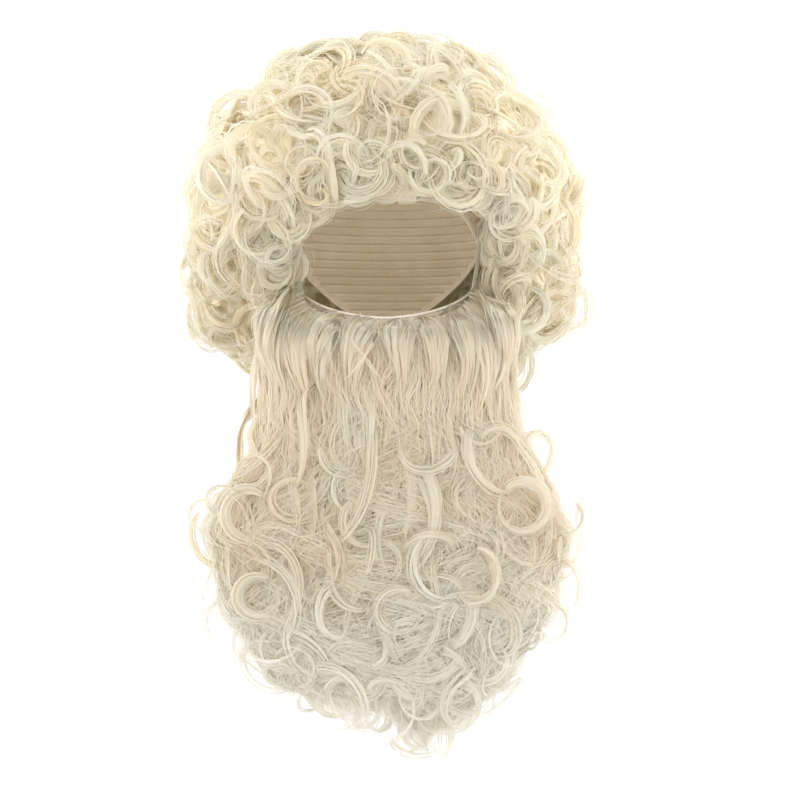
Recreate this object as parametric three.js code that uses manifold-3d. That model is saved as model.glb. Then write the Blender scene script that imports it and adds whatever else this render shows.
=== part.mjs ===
// A curly costume wig worn with a long curly beard, as one assembly.
// Millimetres, +Z up. The origin is the top of the wearer's head, on the inside of the cap,
// and the face looks along -Y. Left is -X and right is +X, as seen from in front.
import * as THREE from "three";
import { mergeVertices } from "three/addons/utils/BufferGeometryUtils.js";
import Module from "manifold-3d";

const wasm = await Module();
wasm.setup();

// The head that the cap fits
const headHalfWidth = 76;
const headHalfDepth = 97;
const crownHeight = 100; // from the top of the head down to its widest level
const domePower = 2.1;
const napeShare = 0.9; // width at the nape, as a share of the widest level

// The cap and the clearances
const capWall = 1.6;
const seatGap = 0.35; // between two pieces that lie on each other
const splitGap = 0.4; // between two masses of hair that meet
const hairlineDrop = 70; // all drops run down from the top of the head
const earTabDrop = 100;
const overEarDrop = 88;
const napeDrop = 160;

// The hair of the wig, measured over its curls
const wigHalfWidth = 146;
const wigFrontDepth = 128;
const wigBackDepth = 158;
const wigRise = 50; // above the top of the head
const wigDrop = 194;
const faceHalfWidth = 75;
const faceTopDrop = 71;
const faceCornerRadius = 46;
const fringeOverhang = 4; // how far the curls reach over the face opening's edge
const earDepth = 12; // how far behind the front of the ears the face opening's sides reach
const curlRadius = 19;
const curlWidth = 27;
const curlThickness = 17;
const curlCount = 50; // down the wig's sides
const topCurlCount = 5; // on the flat of the crown

// Where the wig's hair is parted into its masses
const crownSplitDrop = 20;
const fringeHalfAngle = 50;
const backHalfAngle = 52;

// The beard
const beardPlaneDepth = 52; // the wig's sides stop here and the cheek hair starts
const beardTopDrop = 122;
const laceThickness = 1;
const laceHalfWidth = 72;
const laceDepth = 111;
const laceEdgeAngle = 63;
const laceMiddleDrop = 159;
const laceCornerRise = 22; // of the lace's corners above its middle
const laceHeight = 62;
const chinShare = 0.86; // the lace's size under the chin, as a share of its size at the top edge
const bindingRadius = 1.1;
const beardHalfWidth = 138;
const beardDrop = 468;
const beardFrontDepth = 158;
const moustacheHalfWidth = 60;
const moustacheDrop = 224;
const fallDrop = 346;
const lockWidth = 30;
const lockThickness = 18;
const lockCurl = 16;

// The straps between the cap's ear tabs and the beard's corners
const strapWidth = 6;
const strapThickness = 1;
const strapAngle = 62;
const strapTopDrop = 86;
const strapSewnLength = 9; // of a strap's end over the lace

// Facets
const headColumns = 20;
const capRows = 6;
const hairColumns = 14;
const wigRows = 8;
const beardRows = 8;
const laceColumns = 14;
const laceRows = 3;
const lockSides = 4;
const smallestFacet = 0.1; // finer detail than this is smoothed away
const FAR = 600; // past every face, for cutting

const radians = THREE.MathUtils.degToRad;
const point = (x, y, z) => new THREE.Vector3(x, y, z);

// A closed body through rings of points, listed from the top down and each counterclockwise from above.
function loft(rings) {
  const count = rings[0].length;
  const points = rings.flat();
  const faces = [];
  for (let row = 0; row + 1 < rings.length; row++) {
    for (let i = 0; i < count; i++) {
      const next = (i + 1) % count;
      const a = row * count + i;
      const b = row * count + next;
      faces.push(a, a + count, b + count, a, b + count, b);
    }
  }
  const middleOf = (ring) =>
    ring.reduce((sum, p) => sum.add(p), point(0, 0, 0)).divideScalar(count);
  const last = (rings.length - 1) * count;
  const top = points.push(middleOf(rings[0])) - 1;
  const bottom = points.push(middleOf(rings[rings.length - 1])) - 1;
  for (let i = 0; i < count; i++) {
    const next = (i + 1) % count;
    faces.push(top, i, next, bottom, last + next, last + i);
  }
  return new THREE.BufferGeometry().setFromPoints(points).setIndex(faces);
}

// A sheet between two grids of points, front[i][j] and back[i][j], with i to the right and j down.
function sheet(front, back) {
  const across = front.length;
  const down = front[0].length;
  const points = [...front.flat(), ...back.flat()];
  const f = (i, j) => i * down + j;
  const b = (i, j) => across * down + i * down + j;
  const faces = [];
  const quad = (p, q, r, s) => faces.push(p, q, r, p, r, s);
  for (let i = 0; i + 1 < across; i++) {
    for (let j = 0; j + 1 < down; j++) {
      quad(f(i, j), f(i, j + 1), f(i + 1, j + 1), f(i + 1, j));
      quad(b(i, j), b(i + 1, j), b(i + 1, j + 1), b(i, j + 1));
    }
    quad(f(i, 0), f(i + 1, 0), b(i + 1, 0), b(i, 0));
    quad(f(i, down - 1), b(i, down - 1), b(i + 1, down - 1), f(i + 1, down - 1));
  }
  for (let j = 0; j + 1 < down; j++) {
    quad(f(0, j), b(0, j), b(0, j + 1), f(0, j + 1));
    quad(f(across - 1, j), f(across - 1, j + 1), b(across - 1, j + 1), b(across - 1, j));
  }
  return new THREE.BufferGeometry().setFromPoints(points).setIndex(faces);
}

// A tapered flat lock along a curve. Its width lies along the given axis.
function lock(curve, steps, axis, width, thickness, tipShare) {
  const rings = [];
  for (let step = 0; step <= steps; step++) {
    const along = step / steps;
    const centre = curve.getPointAt(along);
    const heading = curve.getTangentAt(along);
    const sideways = axis.clone().addScaledVector(heading, -axis.dot(heading)).normalize();
    const outward = sideways.clone().cross(heading);
    const size = (1 - (1 - tipShare) * along ** 2) / 2;
    const ring = Array.from({ length: lockSides }, (_, side) => {
      const turn = (side / lockSides) * 2 * Math.PI;
      return centre
        .clone()
        .addScaledVector(sideways, size * width * Math.cos(turn))
        .addScaledVector(outward, size * thickness * Math.sin(turn));
    });
    rings.push(ring);
  }
  return loft(rings);
}

// A three.js geometry as a solid that can be cut and joined.
function solid(geometry) {
  const bare = geometry.clone();
  bare.deleteAttribute("normal");
  bare.deleteAttribute("uv");
  const merged = mergeVertices(bare, 1e-4);
  return new wasm.Manifold(
    new wasm.Mesh({
      numProp: 3,
      vertProperties: merged.attributes.position.array,
      triVerts: new Uint32Array(merged.index.array),
    }),
  );
}

function geometryOf(body) {
  const { numProp, numVert, vertProperties, triVerts } = body.getMesh();
  const places = new Float32Array(numVert * 3);
  for (let i = 0; i < numVert; i++) {
    places.set(vertProperties.subarray(i * numProp, i * numProp + 3), i * 3);
  }
  return new THREE.BufferGeometry()
    .setAttribute("position", new THREE.BufferAttribute(places, 3))
    .setIndex(new THREE.BufferAttribute(triVerts, 1));
}

// The largest body of a cut solid, without the slivers that a cut leaves on it and beside it.
function largest(body) {
  const bodies = body.simplify(smallestFacet).decompose();
  return bodies.reduce((best, b) => (b.volume() > best.volume() ? b : best));
}

function block(low, high) {
  const size = high.clone().sub(low);
  const middle = low.clone().add(high).divideScalar(2);
  return solid(
    new THREE.BoxGeometry(size.x, size.y, size.z).translate(middle.x, middle.y, middle.z),
  );
}

// A steady spread of values from 0 to 1, the same in every run.
const spread = (index, step) => (index * step) % 1;
const goldenStep = 0.618034;
const silverStep = 0.414214;
const bronzeStep = 0.302776;

// A value read smoothly from a table of rows, by the column named key.
function readTable(table, key, at, column) {
  const last = table.length - 1;
  if (at <= table[0][key]) return table[0][column];
  if (at >= table[last][key]) return table[last][column];
  const i = table.findIndex((row) => row[key] > at) - 1;
  const share = (at - table[i][key]) / (table[i + 1][key] - table[i][key]);
  const eased = share * share * (3 - 2 * share);
  return THREE.MathUtils.lerp(table[i][column], table[i + 1][column], (share + eased) / 2);
}

// The head's width and depth at a drop, as a share of the widest level.
function headShare(drop) {
  if (drop < crownHeight) {
    return (1 - (1 - Math.max(drop, 0) / crownHeight) ** domePower) ** (1 / domePower);
  }
  const share = Math.min(1, (drop - crownHeight) / (napeDrop - crownHeight));
  return 1 - (1 - napeShare) * share * share * (3 - 2 * share);
}

// A point on the head, or stood off from it. The angle is 0 in front and grows to the right.
function headPoint(angle, drop, standOff) {
  const place = (a, d) =>
    point(
      headHalfWidth * headShare(d) * Math.sin(a),
      -headHalfDepth * headShare(d) * Math.cos(a),
      -d,
    );
  const step = 0.01;
  const across = place(angle + step, drop).sub(place(angle - step, drop));
  const down = place(angle, drop + step).sub(place(angle, Math.max(drop - step, 0)));
  return place(angle, drop).addScaledVector(down.cross(across).normalize(), standOff);
}

// The cap's lower edge, by the angle from the front in degrees.
const rim = [
  { angle: 0, drop: hairlineDrop },
  { angle: 42, drop: hairlineDrop + 4 },
  { angle: 54, drop: earTabDrop - 12 },
  { angle: 62, drop: earTabDrop },
  { angle: 72, drop: earTabDrop - 4 },
  { angle: 92, drop: overEarDrop },
  { angle: 128, drop: (overEarDrop + napeDrop) / 2 },
  { angle: 180, drop: napeDrop },
];

function rimDrop(angle) {
  const turn = Math.abs(THREE.MathUtils.euclideanModulo(angle + 180, 360) - 180);
  return readTable(rim, "angle", turn, "drop");
}

// Rings round the cap at a stand-off from the head, from its top down to its edge.
function capRings(standOff) {
  return Array.from({ length: capRows }, (_, row) =>
    Array.from({ length: headColumns }, (_, i) => {
      const turn = (i / headColumns) * 360;
      const share = ((row + 1) / capRows) ** 1.5;
      return headPoint(radians(turn), rimDrop(turn) * share, standOff);
    }),
  );
}

// Cloth cap that the hair is sewn to: a thin dome with a tab in front of each ear.
function capGeometry() {
  return loft([...capRings(capWall), ...capRings(0).toReversed()]);
}

// The space of the cap with the head under it, stood off by a clearance.
function headSpace(clearance) {
  const rings = capRings(capWall + clearance);
  const belowEdge = rings[capRows - 1].map((p) => point(p.x, p.y, -FAR));
  return solid(loft([...rings, belowEdge]));
}

// The wig's hair by its drop below its top, as shares of the named sizes.
const wigSections = [
  { drop: 0.0, width: 0.34, front: 0.3, back: 0.26 },
  { drop: 0.03, width: 0.5, front: 0.5, back: 0.44 },
  { drop: 0.09, width: 0.62, front: 0.66, back: 0.62 },
  { drop: 0.18, width: 0.72, front: 0.83, back: 0.78 },
  { drop: 0.26, width: 0.86, front: 0.93, back: 0.89 },
  { drop: 0.36, width: 0.93, front: 0.98, back: 0.96 },
  { drop: 0.5, width: 0.98, front: 1.0, back: 1.0 },
  { drop: 0.66, width: 0.98, front: 0.88, back: 1.0 },
  { drop: 0.8, width: 1.0, front: 0.78, back: 0.97 },
  { drop: 0.9, width: 0.93, front: 0.7, back: 0.92 },
  { drop: 1.0, width: 0.74, front: 0.56, back: 0.78 },
];
const wigHeight = wigRise + wigDrop;

// A point on the wig's outline, or inset from it. The angle is 0 in front and grows to the right.
function wigPoint(angle, share, inset) {
  const read = (column) => readTable(wigSections, "drop", share, column);
  const depth =
    Math.cos(angle) > 0 ? read("front") * wigFrontDepth : read("back") * wigBackDepth;
  return point(
    (read("width") * wigHalfWidth - inset) * Math.sin(angle),
    -(depth - inset) * Math.cos(angle),
    wigRise - inset - share * (wigHeight - 1.5 * inset),
  );
}

function wigNormal(angle, share) {
  const step = 0.01;
  const across = wigPoint(angle + step, share, 0).sub(wigPoint(angle - step, share, 0));
  const down = wigPoint(angle, Math.min(share + step, 1), 0).sub(
    wigPoint(angle, Math.max(share - step, 0), 0),
  );
  return down.cross(across).normalize();
}

// The face opening: an arch under the fringe, cut through to the ears.
function faceSpace(clearance) {
  const half = faceHalfWidth - clearance;
  const top = -faceTopDrop - clearance;
  const arch = new THREE.Shape();
  arch.moveTo(-half, -FAR);
  arch.lineTo(half, -FAR);
  arch.lineTo(half, top - faceCornerRadius);
  arch.quadraticCurveTo(half - 3, top, half - faceCornerRadius, top);
  arch.lineTo(-half + faceCornerRadius, top);
  arch.quadraticCurveTo(-half + 3, top, -half, top - faceCornerRadius);
  const cut = new THREE.ExtrudeGeometry(arch, {
    depth: FAR,
    bevelEnabled: false,
    curveSegments: 4,
  });
  return solid(cut.rotateX(Math.PI / 2).translate(0, -earDepth, 0));
}

// Where the curls are rooted: spread evenly down the wig's outline, and then over the crown's
// flat top. out is how far from the middle of the top a curl stands, as a share of the way.
function curlPlace(index) {
  const angle = 2 * Math.PI * spread(index, goldenStep);
  if (index < curlCount) {
    return { angle, share: 0.02 + 0.95 * ((index + 0.5) / curlCount) ** 1.2, out: 1 };
  }
  return { angle, share: 0, out: 0.75 * Math.sqrt((index - curlCount) / topCurlCount) };
}

// One curl of the wig: a hooked lock that leaves the hair and winds back towards it.
function wigCurl(index) {
  const { angle, share, out } = curlPlace(index);
  const size = 0.85 + 0.3 * spread(index, bronzeStep);
  const reach = curlRadius * size;
  const up = point(0, 0, 1);
  const outward = wigNormal(angle, share).lerp(up, 1 - out).normalize();
  const place = wigPoint(angle, share, 0);
  const base = place
    .lerp(point(0, 0, place.z), 1 - out)
    .addScaledVector(outward, -reach - curlThickness / 4);
  const roll = 2 * Math.PI * spread(index, silverStep);
  const sideways = outward.clone().cross(point(1, 0, 0)).cross(outward).normalize();
  const heading = (out < 1 ? sideways : up.cross(outward).normalize()).applyAxisAngle(outward, roll);
  const lean = radians(15 + 40 * out * spread(index, bronzeStep));
  const rising = outward.clone().applyAxisAngle(heading, lean);
  const axis = heading.clone().cross(rising);
  const path = [];
  for (let turn = -50; turn <= 230; turn += 40) {
    const radius = reach * (1 - 0.0016 * Math.max(turn, 0));
    path.push(
      base
        .clone()
        .addScaledVector(heading, radius * Math.cos(radians(turn)))
        .addScaledVector(rising, radius * Math.sin(radians(turn)))
        .addScaledVector(axis, (turn / 180) * (curlThickness / 2)),
    );
  }
  const curve = new THREE.CatmullRomCurve3(path);
  return solid(lock(curve, 5, axis, curlWidth * size, curlThickness, 0.5));
}

// True where the wig has no hair to carry a curl: in the face opening and over the beard.
function isOpenFront(index) {
  const { angle, share } = curlPlace(index);
  const at = wigPoint(angle, share, curlRadius);
  const inFace = Math.abs(at.x) < faceHalfWidth && at.z < -faceTopDrop && at.y < 0;
  const overBeard = at.z < -beardTopDrop && at.y < -beardPlaneDepth + curlThickness;
  return inFace || overBeard;
}

function wigHair() {
  const rings = Array.from({ length: wigRows }, (_, row) =>
    Array.from({ length: hairColumns }, (_, i) =>
      wigPoint((i / hairColumns) * 2 * Math.PI, row / (wigRows - 1), curlRadius),
    ),
  );
  const beardCorner = block(
    point(-FAR, -FAR, -FAR),
    point(FAR, -beardPlaneDepth + splitGap / 2, -beardTopDrop + splitGap / 2),
  );
  const curls = [];
  for (let index = 0; index < curlCount + topCurlCount; index++) {
    if (!isOpenFront(index)) curls.push(wigCurl(index));
  }
  return wasm.Manifold.union([solid(loft(rings)).subtract(faceSpace(0)), ...curls])
    .subtract(headSpace(seatGap))
    .subtract(faceSpace(fringeOverhang))
    .subtract(beardCorner)
    .subtract(solid(strapGeometry(-1, seatGap)))
    .subtract(solid(strapGeometry(1, seatGap)));
}

// A wedge of the wig's hair under the crown, between two angles from the front in degrees.
function wedge(from, to) {
  const middle = radians((from + to) / 2);
  const half = radians((to - from) / 2);
  const inset = splitGap / 2 / Math.sin(half);
  const corner = (angle, reach) =>
    new THREE.Vector2(
      inset * Math.sin(middle) + reach * Math.sin(angle),
      -inset * Math.cos(middle) - reach * Math.cos(angle),
    );
  const plan = new THREE.Shape([
    corner(0, 0),
    corner(radians(from), FAR),
    corner(radians(to), FAR),
  ]);
  const cut = new THREE.ExtrudeGeometry(plan, { depth: FAR, bevelEnabled: false });
  return solid(cut.translate(0, 0, -FAR - crownSplitDrop - splitGap / 2));
}

// The lace that lies on the lower face. across runs from -1 to 1 and down from 0 to 1.
function lacePoint(across, down, standOff) {
  const top = laceMiddleDrop - laceCornerRise * Math.abs(across) ** 1.8;
  const size = 1 - (1 - chinShare) * down ** 2;
  const angle = across * radians(laceEdgeAngle);
  return point(
    (laceHalfWidth * size + standOff) * Math.sin(angle),
    -(laceDepth * size + standOff) * Math.cos(angle),
    -top - laceHeight * down * (1 - 0.2 * Math.abs(across)),
  );
}

function laceGrid(standOff) {
  return Array.from({ length: laceColumns + 1 }, (_, i) =>
    Array.from({ length: laceRows + 1 }, (_, j) =>
      lacePoint((2 * i) / laceColumns - 1, j / laceRows, standOff),
    ),
  );
}

// The bound edge that runs from ear to ear along the top of the lace, or its space with a
// clearance round it.
function bindingGeometry(clearance) {
  const path = Array.from({ length: laceColumns + 1 }, (_, i) =>
    lacePoint((2 * i) / laceColumns - 1, 0, laceThickness / 2).add(
      point(0, 0, bindingRadius + 1.5 * seatGap),
    ),
  );
  const section = new THREE.Shape().absarc(0, 0, bindingRadius + clearance, 0, 2 * Math.PI);
  return new THREE.ExtrudeGeometry(section, {
    extrudePath: new THREE.CatmullRomCurve3(path),
    steps: laceColumns,
    curveSegments: 3,
    bevelEnabled: false,
  });
}

// One flat strap, from over the cap's ear tab to over the lace's corner, or its space with a
// clearance round it. side is -1 or 1.
function strapGeometry(side, clearance) {
  const angle = side * radians(strapAngle);
  const drops = [
    strapTopDrop - clearance,
    earTabDrop,
    (earTabDrop + beardTopDrop) / 2,
  ];
  const onHead = drops.map((drop) => headPoint(angle, drop, capWall + seatGap));
  const laceShare = (strapSewnLength + 2 * clearance) / laceHeight;
  const onLace = [0, laceShare / 2, laceShare].map((down) =>
    lacePoint(side * 0.94, down, laceThickness / 2 + bindingRadius + seatGap),
  );
  const path = new THREE.CatmullRomCurve3([...onHead, ...onLace]);
  const steps = 8;
  const outward = headPoint(angle, crownHeight, 1).sub(headPoint(angle, crownHeight, 0));
  const across = outward.clone().cross(point(0, 0, -1));
  const edge = (share, sideways, standOff) =>
    path
      .getPointAt(share)
      .addScaledVector(across, sideways * (strapWidth / 2 + clearance))
      .addScaledVector(outward, standOff);
  const face = (standOff) =>
    [-1, 1].map((sideways) =>
      Array.from({ length: steps + 1 }, (_, j) => edge(j / steps, sideways, standOff)),
    );
  return sheet(face(strapThickness + clearance), face(-clearance));
}

// The beard's hair by its drop, as shares of the named sizes. left and right are of
// beardHalfWidth, and front and back of beardFrontDepth.
const beardSections = [
  { drop: 0.26, left: 0.6, right: 0.6, front: 0.66, back: 0.3 },
  { drop: 0.3, left: 0.67, right: 0.68, front: 0.78, back: 0.3 },
  { drop: 0.345, left: 0.7, right: 0.72, front: 0.84, back: 0.3 },
  { drop: 0.41, left: 0.72, right: 0.75, front: 0.89, back: 0.36 },
  { drop: 0.47, left: 0.72, right: 0.77, front: 0.92, back: 0.45 },
  { drop: 0.53, left: 0.74, right: 0.82, front: 0.95, back: 0.5 },
  { drop: 0.6, left: 0.84, right: 0.9, front: 0.98, back: 0.5 },
  { drop: 0.66, left: 0.96, right: 0.98, front: 1.0, back: 0.5 },
  { drop: 0.72, left: 0.92, right: 0.96, front: 1.0, back: 0.51 },
  { drop: 0.78, left: 0.88, right: 0.96, front: 0.98, back: 0.53 },
  { drop: 0.84, left: 0.8, right: 0.84, front: 0.96, back: 0.55 },
  { drop: 0.89, left: 0.62, right: 0.7, front: 0.93, back: 0.58 },
  { drop: 0.94, left: 0.38, right: 0.6, front: 0.9, back: 0.62 },
  { drop: 1.0, left: 0.02, right: 0.38, front: 0.84, back: 0.68 },
];
const beardPower = 0.8; // under 1 squares a section's corners

// A point on the beard's outline, or inset from it.
function beardPoint(angle, share, inset) {
  const read = (column) => readTable(beardSections, "drop", share, column);
  const left = -read("left") * beardHalfWidth + inset;
  const right = read("right") * beardHalfWidth - inset;
  const front = -read("front") * beardFrontDepth + inset;
  const back = -read("back") * beardFrontDepth - inset;
  const bulge = (value) => Math.sign(value) * Math.abs(value) ** beardPower;
  return point(
    (left + right) / 2 + ((right - left) / 2) * bulge(Math.sin(angle)),
    (front + back) / 2 - ((back - front) / 2) * bulge(Math.cos(angle)),
    -share * beardDrop,
  );
}

// Each row is a level of locks: the drop that they start at, how many hang in front and
// behind, their length, how far they sway, and the size of the curl at their ends.
const lockRows = [
  { drop: 0.32, front: 6, behind: 0, length: 0.22, sway: 0.05, curl: 0.9 },
  { drop: 0.5, front: 5, behind: 1, length: 0.17, sway: 0.1, curl: 1 },
  { drop: 0.63, front: 6, behind: 2, length: 0.14, sway: 0.1, curl: 1 },
  { drop: 0.76, front: 5, behind: 2, length: 0.14, sway: 0.12, curl: 1 },
];

// Angles round the beard that share its width evenly between some locks.
function lockAngles(count, sideways) {
  return Array.from({ length: count }, (_, i) => {
    const across = sideways * ((2 * (i + 0.5)) / count - 1);
    return Math.asin(Math.sign(across) * Math.abs(across) ** (1 / beardPower));
  });
}

// A lock of the beard: it hangs in a wave and ends in a curl that turns aside.
function beardLock(row, angle, index) {
  const sign = index % 2 ? 1 : -1;
  const length = row.length * (0.85 + 0.3 * spread(index, silverStep));
  const path = [];
  for (let step = 0; step <= 4; step++) {
    const along = step / 4;
    const share = Math.min(row.drop + length * along, 1);
    const wave = sign * row.sway * Math.sin(along * 1.5 * Math.PI);
    path.push(beardPoint(angle + wave, share, 0.4 * lockThickness));
  }
  const end = path[path.length - 1];
  const outward = point(Math.sin(angle), -Math.cos(angle), 0);
  const sideways = point(0, 0, 1).cross(outward).multiplyScalar(sign);
  const radius = lockCurl * row.curl;
  for (let turn = 50; turn <= 200; turn += 50) {
    path.push(
      end
        .clone()
        .addScaledVector(sideways, radius * (1 - Math.cos(radians(turn))))
        .add(point(0, 0, -radius * Math.sin(radians(turn)))),
    );
  }
  const curve = new THREE.CatmullRomCurve3(path);
  return solid(lock(curve, 5, sideways, lockWidth, lockThickness, 0.3));
}

// The space over the lace's top edge, where the face shows.
function aboveLace() {
  const edge = Array.from({ length: laceColumns + 1 }, (_, i) =>
    lacePoint((2 * i) / laceColumns - 1, 0, 0),
  );
  const outline = edge.map((p) => new THREE.Vector2(p.x, p.z + seatGap));
  const corner = outline[outline.length - 1];
  const over = new THREE.Shape([
    ...outline,
    new THREE.Vector2(corner.x, 0),
    new THREE.Vector2(-corner.x, 0),
  ]);
  const cut = new THREE.ExtrudeGeometry(over, { depth: FAR, bevelEnabled: false });
  return solid(cut.rotateX(Math.PI / 2));
}

// The space of the lower face with the lace on it, stood off by a clearance.
function laceSpace(clearance) {
  const front = laceGrid(laceThickness + clearance).map((column) => {
    const [first, last] = [column[0], column[laceRows]];
    return [first.clone().setZ(0), ...column, last.clone().add(point(0, 0, -clearance))];
  });
  const middlePlane = front.map((column) => column.map((p) => point(p.x, 0, p.z)));
  return solid(sheet(front, middlePlane));
}

function beardHair() {
  const firstDrop = beardSections[0].drop;
  const rings = Array.from({ length: beardRows }, (_, row) =>
    Array.from({ length: hairColumns }, (_, i) => {
      const drop = firstDrop + (1 - firstDrop) * (row / (beardRows - 1));
      return beardPoint((i / hairColumns) * 2 * Math.PI, drop, 0.7 * lockThickness);
    }),
  );
  let index = 0;
  const locks = lockRows.flatMap((row) => [
    ...lockAngles(row.front, 1.12).map((angle) => beardLock(row, angle, index++)),
    ...lockAngles(row.behind, 0.9).map((angle) => beardLock(row, Math.PI - angle, index++)),
  ]);
  const behind = block(
    point(-FAR, -beardPlaneDepth - splitGap / 2, -moustacheDrop),
    point(FAR, FAR, FAR),
  );
  const above = block(
    point(-FAR, -FAR, -beardTopDrop - splitGap / 2),
    point(FAR, FAR, FAR),
  );
  return wasm.Manifold.union([solid(loft(rings)), ...locks])
    .subtract(laceSpace(seatGap))
    .subtract(aboveLace())
    .subtract(solid(bindingGeometry(seatGap)))
    .subtract(solid(strapGeometry(-1, seatGap)))
    .subtract(solid(strapGeometry(1, seatGap)))
    .subtract(behind)
    .subtract(above);
}

// A box of the beard's hair, each face kept half a gap inside the given parting.
function beardBox(left, right, topDrop, bottomDrop) {
  const inset = splitGap / 2;
  return block(
    point(left + inset, -FAR, -bottomDrop + inset),
    point(right - inset, FAR, -topDrop - inset),
  );
}

const part = new THREE.Group();
const hairFinish = { color: 0xefe4c2, roughness: 0.42, metalness: 0 };
const finishes = {
  hair: hairFinish,
  beard: { ...hairFinish, color: 0xe9dcc0 },
  cap: { color: 0xc9a877, roughness: 0.85, metalness: 0 },
  lace: { color: 0xd8cbb4, roughness: 0.8, metalness: 0 },
  binding: { color: 0xf0ded0, roughness: 0.55, metalness: 0 },
  strap: { color: 0xe8dcd2, roughness: 0.3, metalness: 0 },
};

function add(name, geometry, finish) {
  const mesh = new THREE.Mesh(geometry, new THREE.MeshStandardMaterial(finishes[finish]));
  mesh.name = name;
  part.add(mesh);
}

add("wig_cap", capGeometry(), "cap");

const hair = wigHair();
const overSplit = block(
  point(-FAR, -FAR, -crownSplitDrop + splitGap / 2),
  point(FAR, FAR, FAR),
);
const masses = {
  crown_curls: overSplit,
  fringe_curls: wedge(-fringeHalfAngle, fringeHalfAngle),
  side_curls_right: wedge(fringeHalfAngle, 180 - backHalfAngle),
  back_curls: wedge(180 - backHalfAngle, 180 + backHalfAngle),
  side_curls_left: wedge(180 + backHalfAngle, 360 - fringeHalfAngle),
};
for (const [name, region] of Object.entries(masses)) {
  add(name, geometryOf(largest(hair.intersect(region))), "hair");
}

add("beard_lace", sheet(laceGrid(laceThickness), laceGrid(0)), "lace");
add("lace_edge_binding", bindingGeometry(0), "binding");
add("strap_left", strapGeometry(-1, 0), "strap");
add("strap_right", strapGeometry(1, 0), "strap");

const beard = beardHair();
const beardMasses = {
  moustache_fall: beardBox(-moustacheHalfWidth, moustacheHalfWidth, 0, moustacheDrop),
  cheek_locks_left: beardBox(-FAR, -moustacheHalfWidth, 0, moustacheDrop),
  cheek_locks_right: beardBox(moustacheHalfWidth, FAR, 0, moustacheDrop),
  beard_fall: beardBox(-FAR, FAR, moustacheDrop, fallDrop),
  beard_curls: beardBox(-FAR, FAR, fallDrop, FAR),
};
for (const [name, region] of Object.entries(beardMasses)) {
  add(name, geometryOf(largest(beard.intersect(region))), "beard");
}

export default part;
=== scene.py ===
"""A curly costume wig worn with a long curly beard, in a plain bright studio.

The frame's origin is the top of the wearer's head, on the inside of the cap. +Z is up, and the
face looks along -Y. Sizes are in metres. Each mass of hair is made of locks, and each lock is a
bundle of fine ribbons that follow one winding line.
"""

import math

import bmesh
import bpy
import numpy as np
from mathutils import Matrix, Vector


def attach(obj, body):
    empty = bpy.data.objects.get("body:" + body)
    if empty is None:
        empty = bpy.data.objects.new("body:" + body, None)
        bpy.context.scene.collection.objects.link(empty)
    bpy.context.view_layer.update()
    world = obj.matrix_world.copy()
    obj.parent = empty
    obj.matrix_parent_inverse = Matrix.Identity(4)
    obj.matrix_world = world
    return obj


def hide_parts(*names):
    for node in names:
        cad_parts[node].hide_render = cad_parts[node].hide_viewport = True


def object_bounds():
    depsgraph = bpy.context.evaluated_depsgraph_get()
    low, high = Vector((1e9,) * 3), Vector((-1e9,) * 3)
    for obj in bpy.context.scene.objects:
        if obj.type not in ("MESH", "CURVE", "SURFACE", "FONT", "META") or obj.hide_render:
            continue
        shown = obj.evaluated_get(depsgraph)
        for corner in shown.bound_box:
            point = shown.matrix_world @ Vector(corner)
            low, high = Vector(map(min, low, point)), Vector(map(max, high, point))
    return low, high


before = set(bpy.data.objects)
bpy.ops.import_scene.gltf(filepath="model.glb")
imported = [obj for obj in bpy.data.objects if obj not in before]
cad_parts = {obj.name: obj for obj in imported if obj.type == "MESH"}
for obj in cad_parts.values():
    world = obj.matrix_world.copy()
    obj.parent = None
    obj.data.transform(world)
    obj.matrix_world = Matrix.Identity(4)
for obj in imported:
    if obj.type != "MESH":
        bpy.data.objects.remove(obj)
cad_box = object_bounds()
rng = np.random.default_rng(11)

# The head under the cap
HEAD_HALF_WIDTH = 0.076
HEAD_HALF_DEPTH = 0.097
CROWN_HEIGHT = 0.100
DOME_POWER = 2.1
NAPE_SHARE = 0.9
HAIRLINE_DROP = 0.070
EAR_TAB_DROP = 0.100
OVER_EAR_DROP = 0.088
NAPE_DROP = 0.160
CAP_WALL = 0.0016

# The lace under the beard
LACE_HALF_WIDTH = 0.072
LACE_DEPTH = 0.111
LACE_EDGE_ANGLE = 63
LACE_MIDDLE_DROP = 0.159
LACE_CORNER_RISE = 0.022
LACE_HEIGHT = 0.062
LACE_THICKNESS = 0.001
CHIN_SHARE = 0.86
BINDING_RADIUS = 0.0011
HAIR_OFF_LACE = 0.0015
STRAP_ANGLE = 62
STRAP_WIDTH = 0.006
SEAT_GAP = 0.00035

# Where the hair's masses part, as in the CAD model
CROWN_SPLIT = -0.020
FRINGE_HALF_ANGLE = 50
BACK_HALF_ANGLE = 52
FACE_HALF_WIDTH = 0.070
FACE_TOP = -0.071
CHEEK_SPLIT = 0.050
FALL_TOP = -0.215
ENDS_TOP = -0.315
LIP_Z = -0.175  # hair above it is rooted in the lace

# The camera, level with the middle of the photograph
CAMERA_X = 0.0108
CAMERA_Z = -0.216
CAMERA_Y = -2.10
LENS = 125

FLOOR_Z = -0.56
FLOOR_RADIUS = 4
WHITE = 1.1  # the light of the floor and the sky
LAMPS = {  # place, size and power
    "front": ((-0.5, -1.8, 1.1), 0.45, 4.0),
    "left": ((-1.9, 0.2, 0.2), 1.3, 21.0),
    "right": ((1.9, 0.2, 0.1), 1.3, 21.0),
    "top": ((0.0, 0.2, 1.5), 0.9, 6.0),
    "low": ((0.2, -1.5, -0.5), 0.5, 1.6),
}

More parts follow.
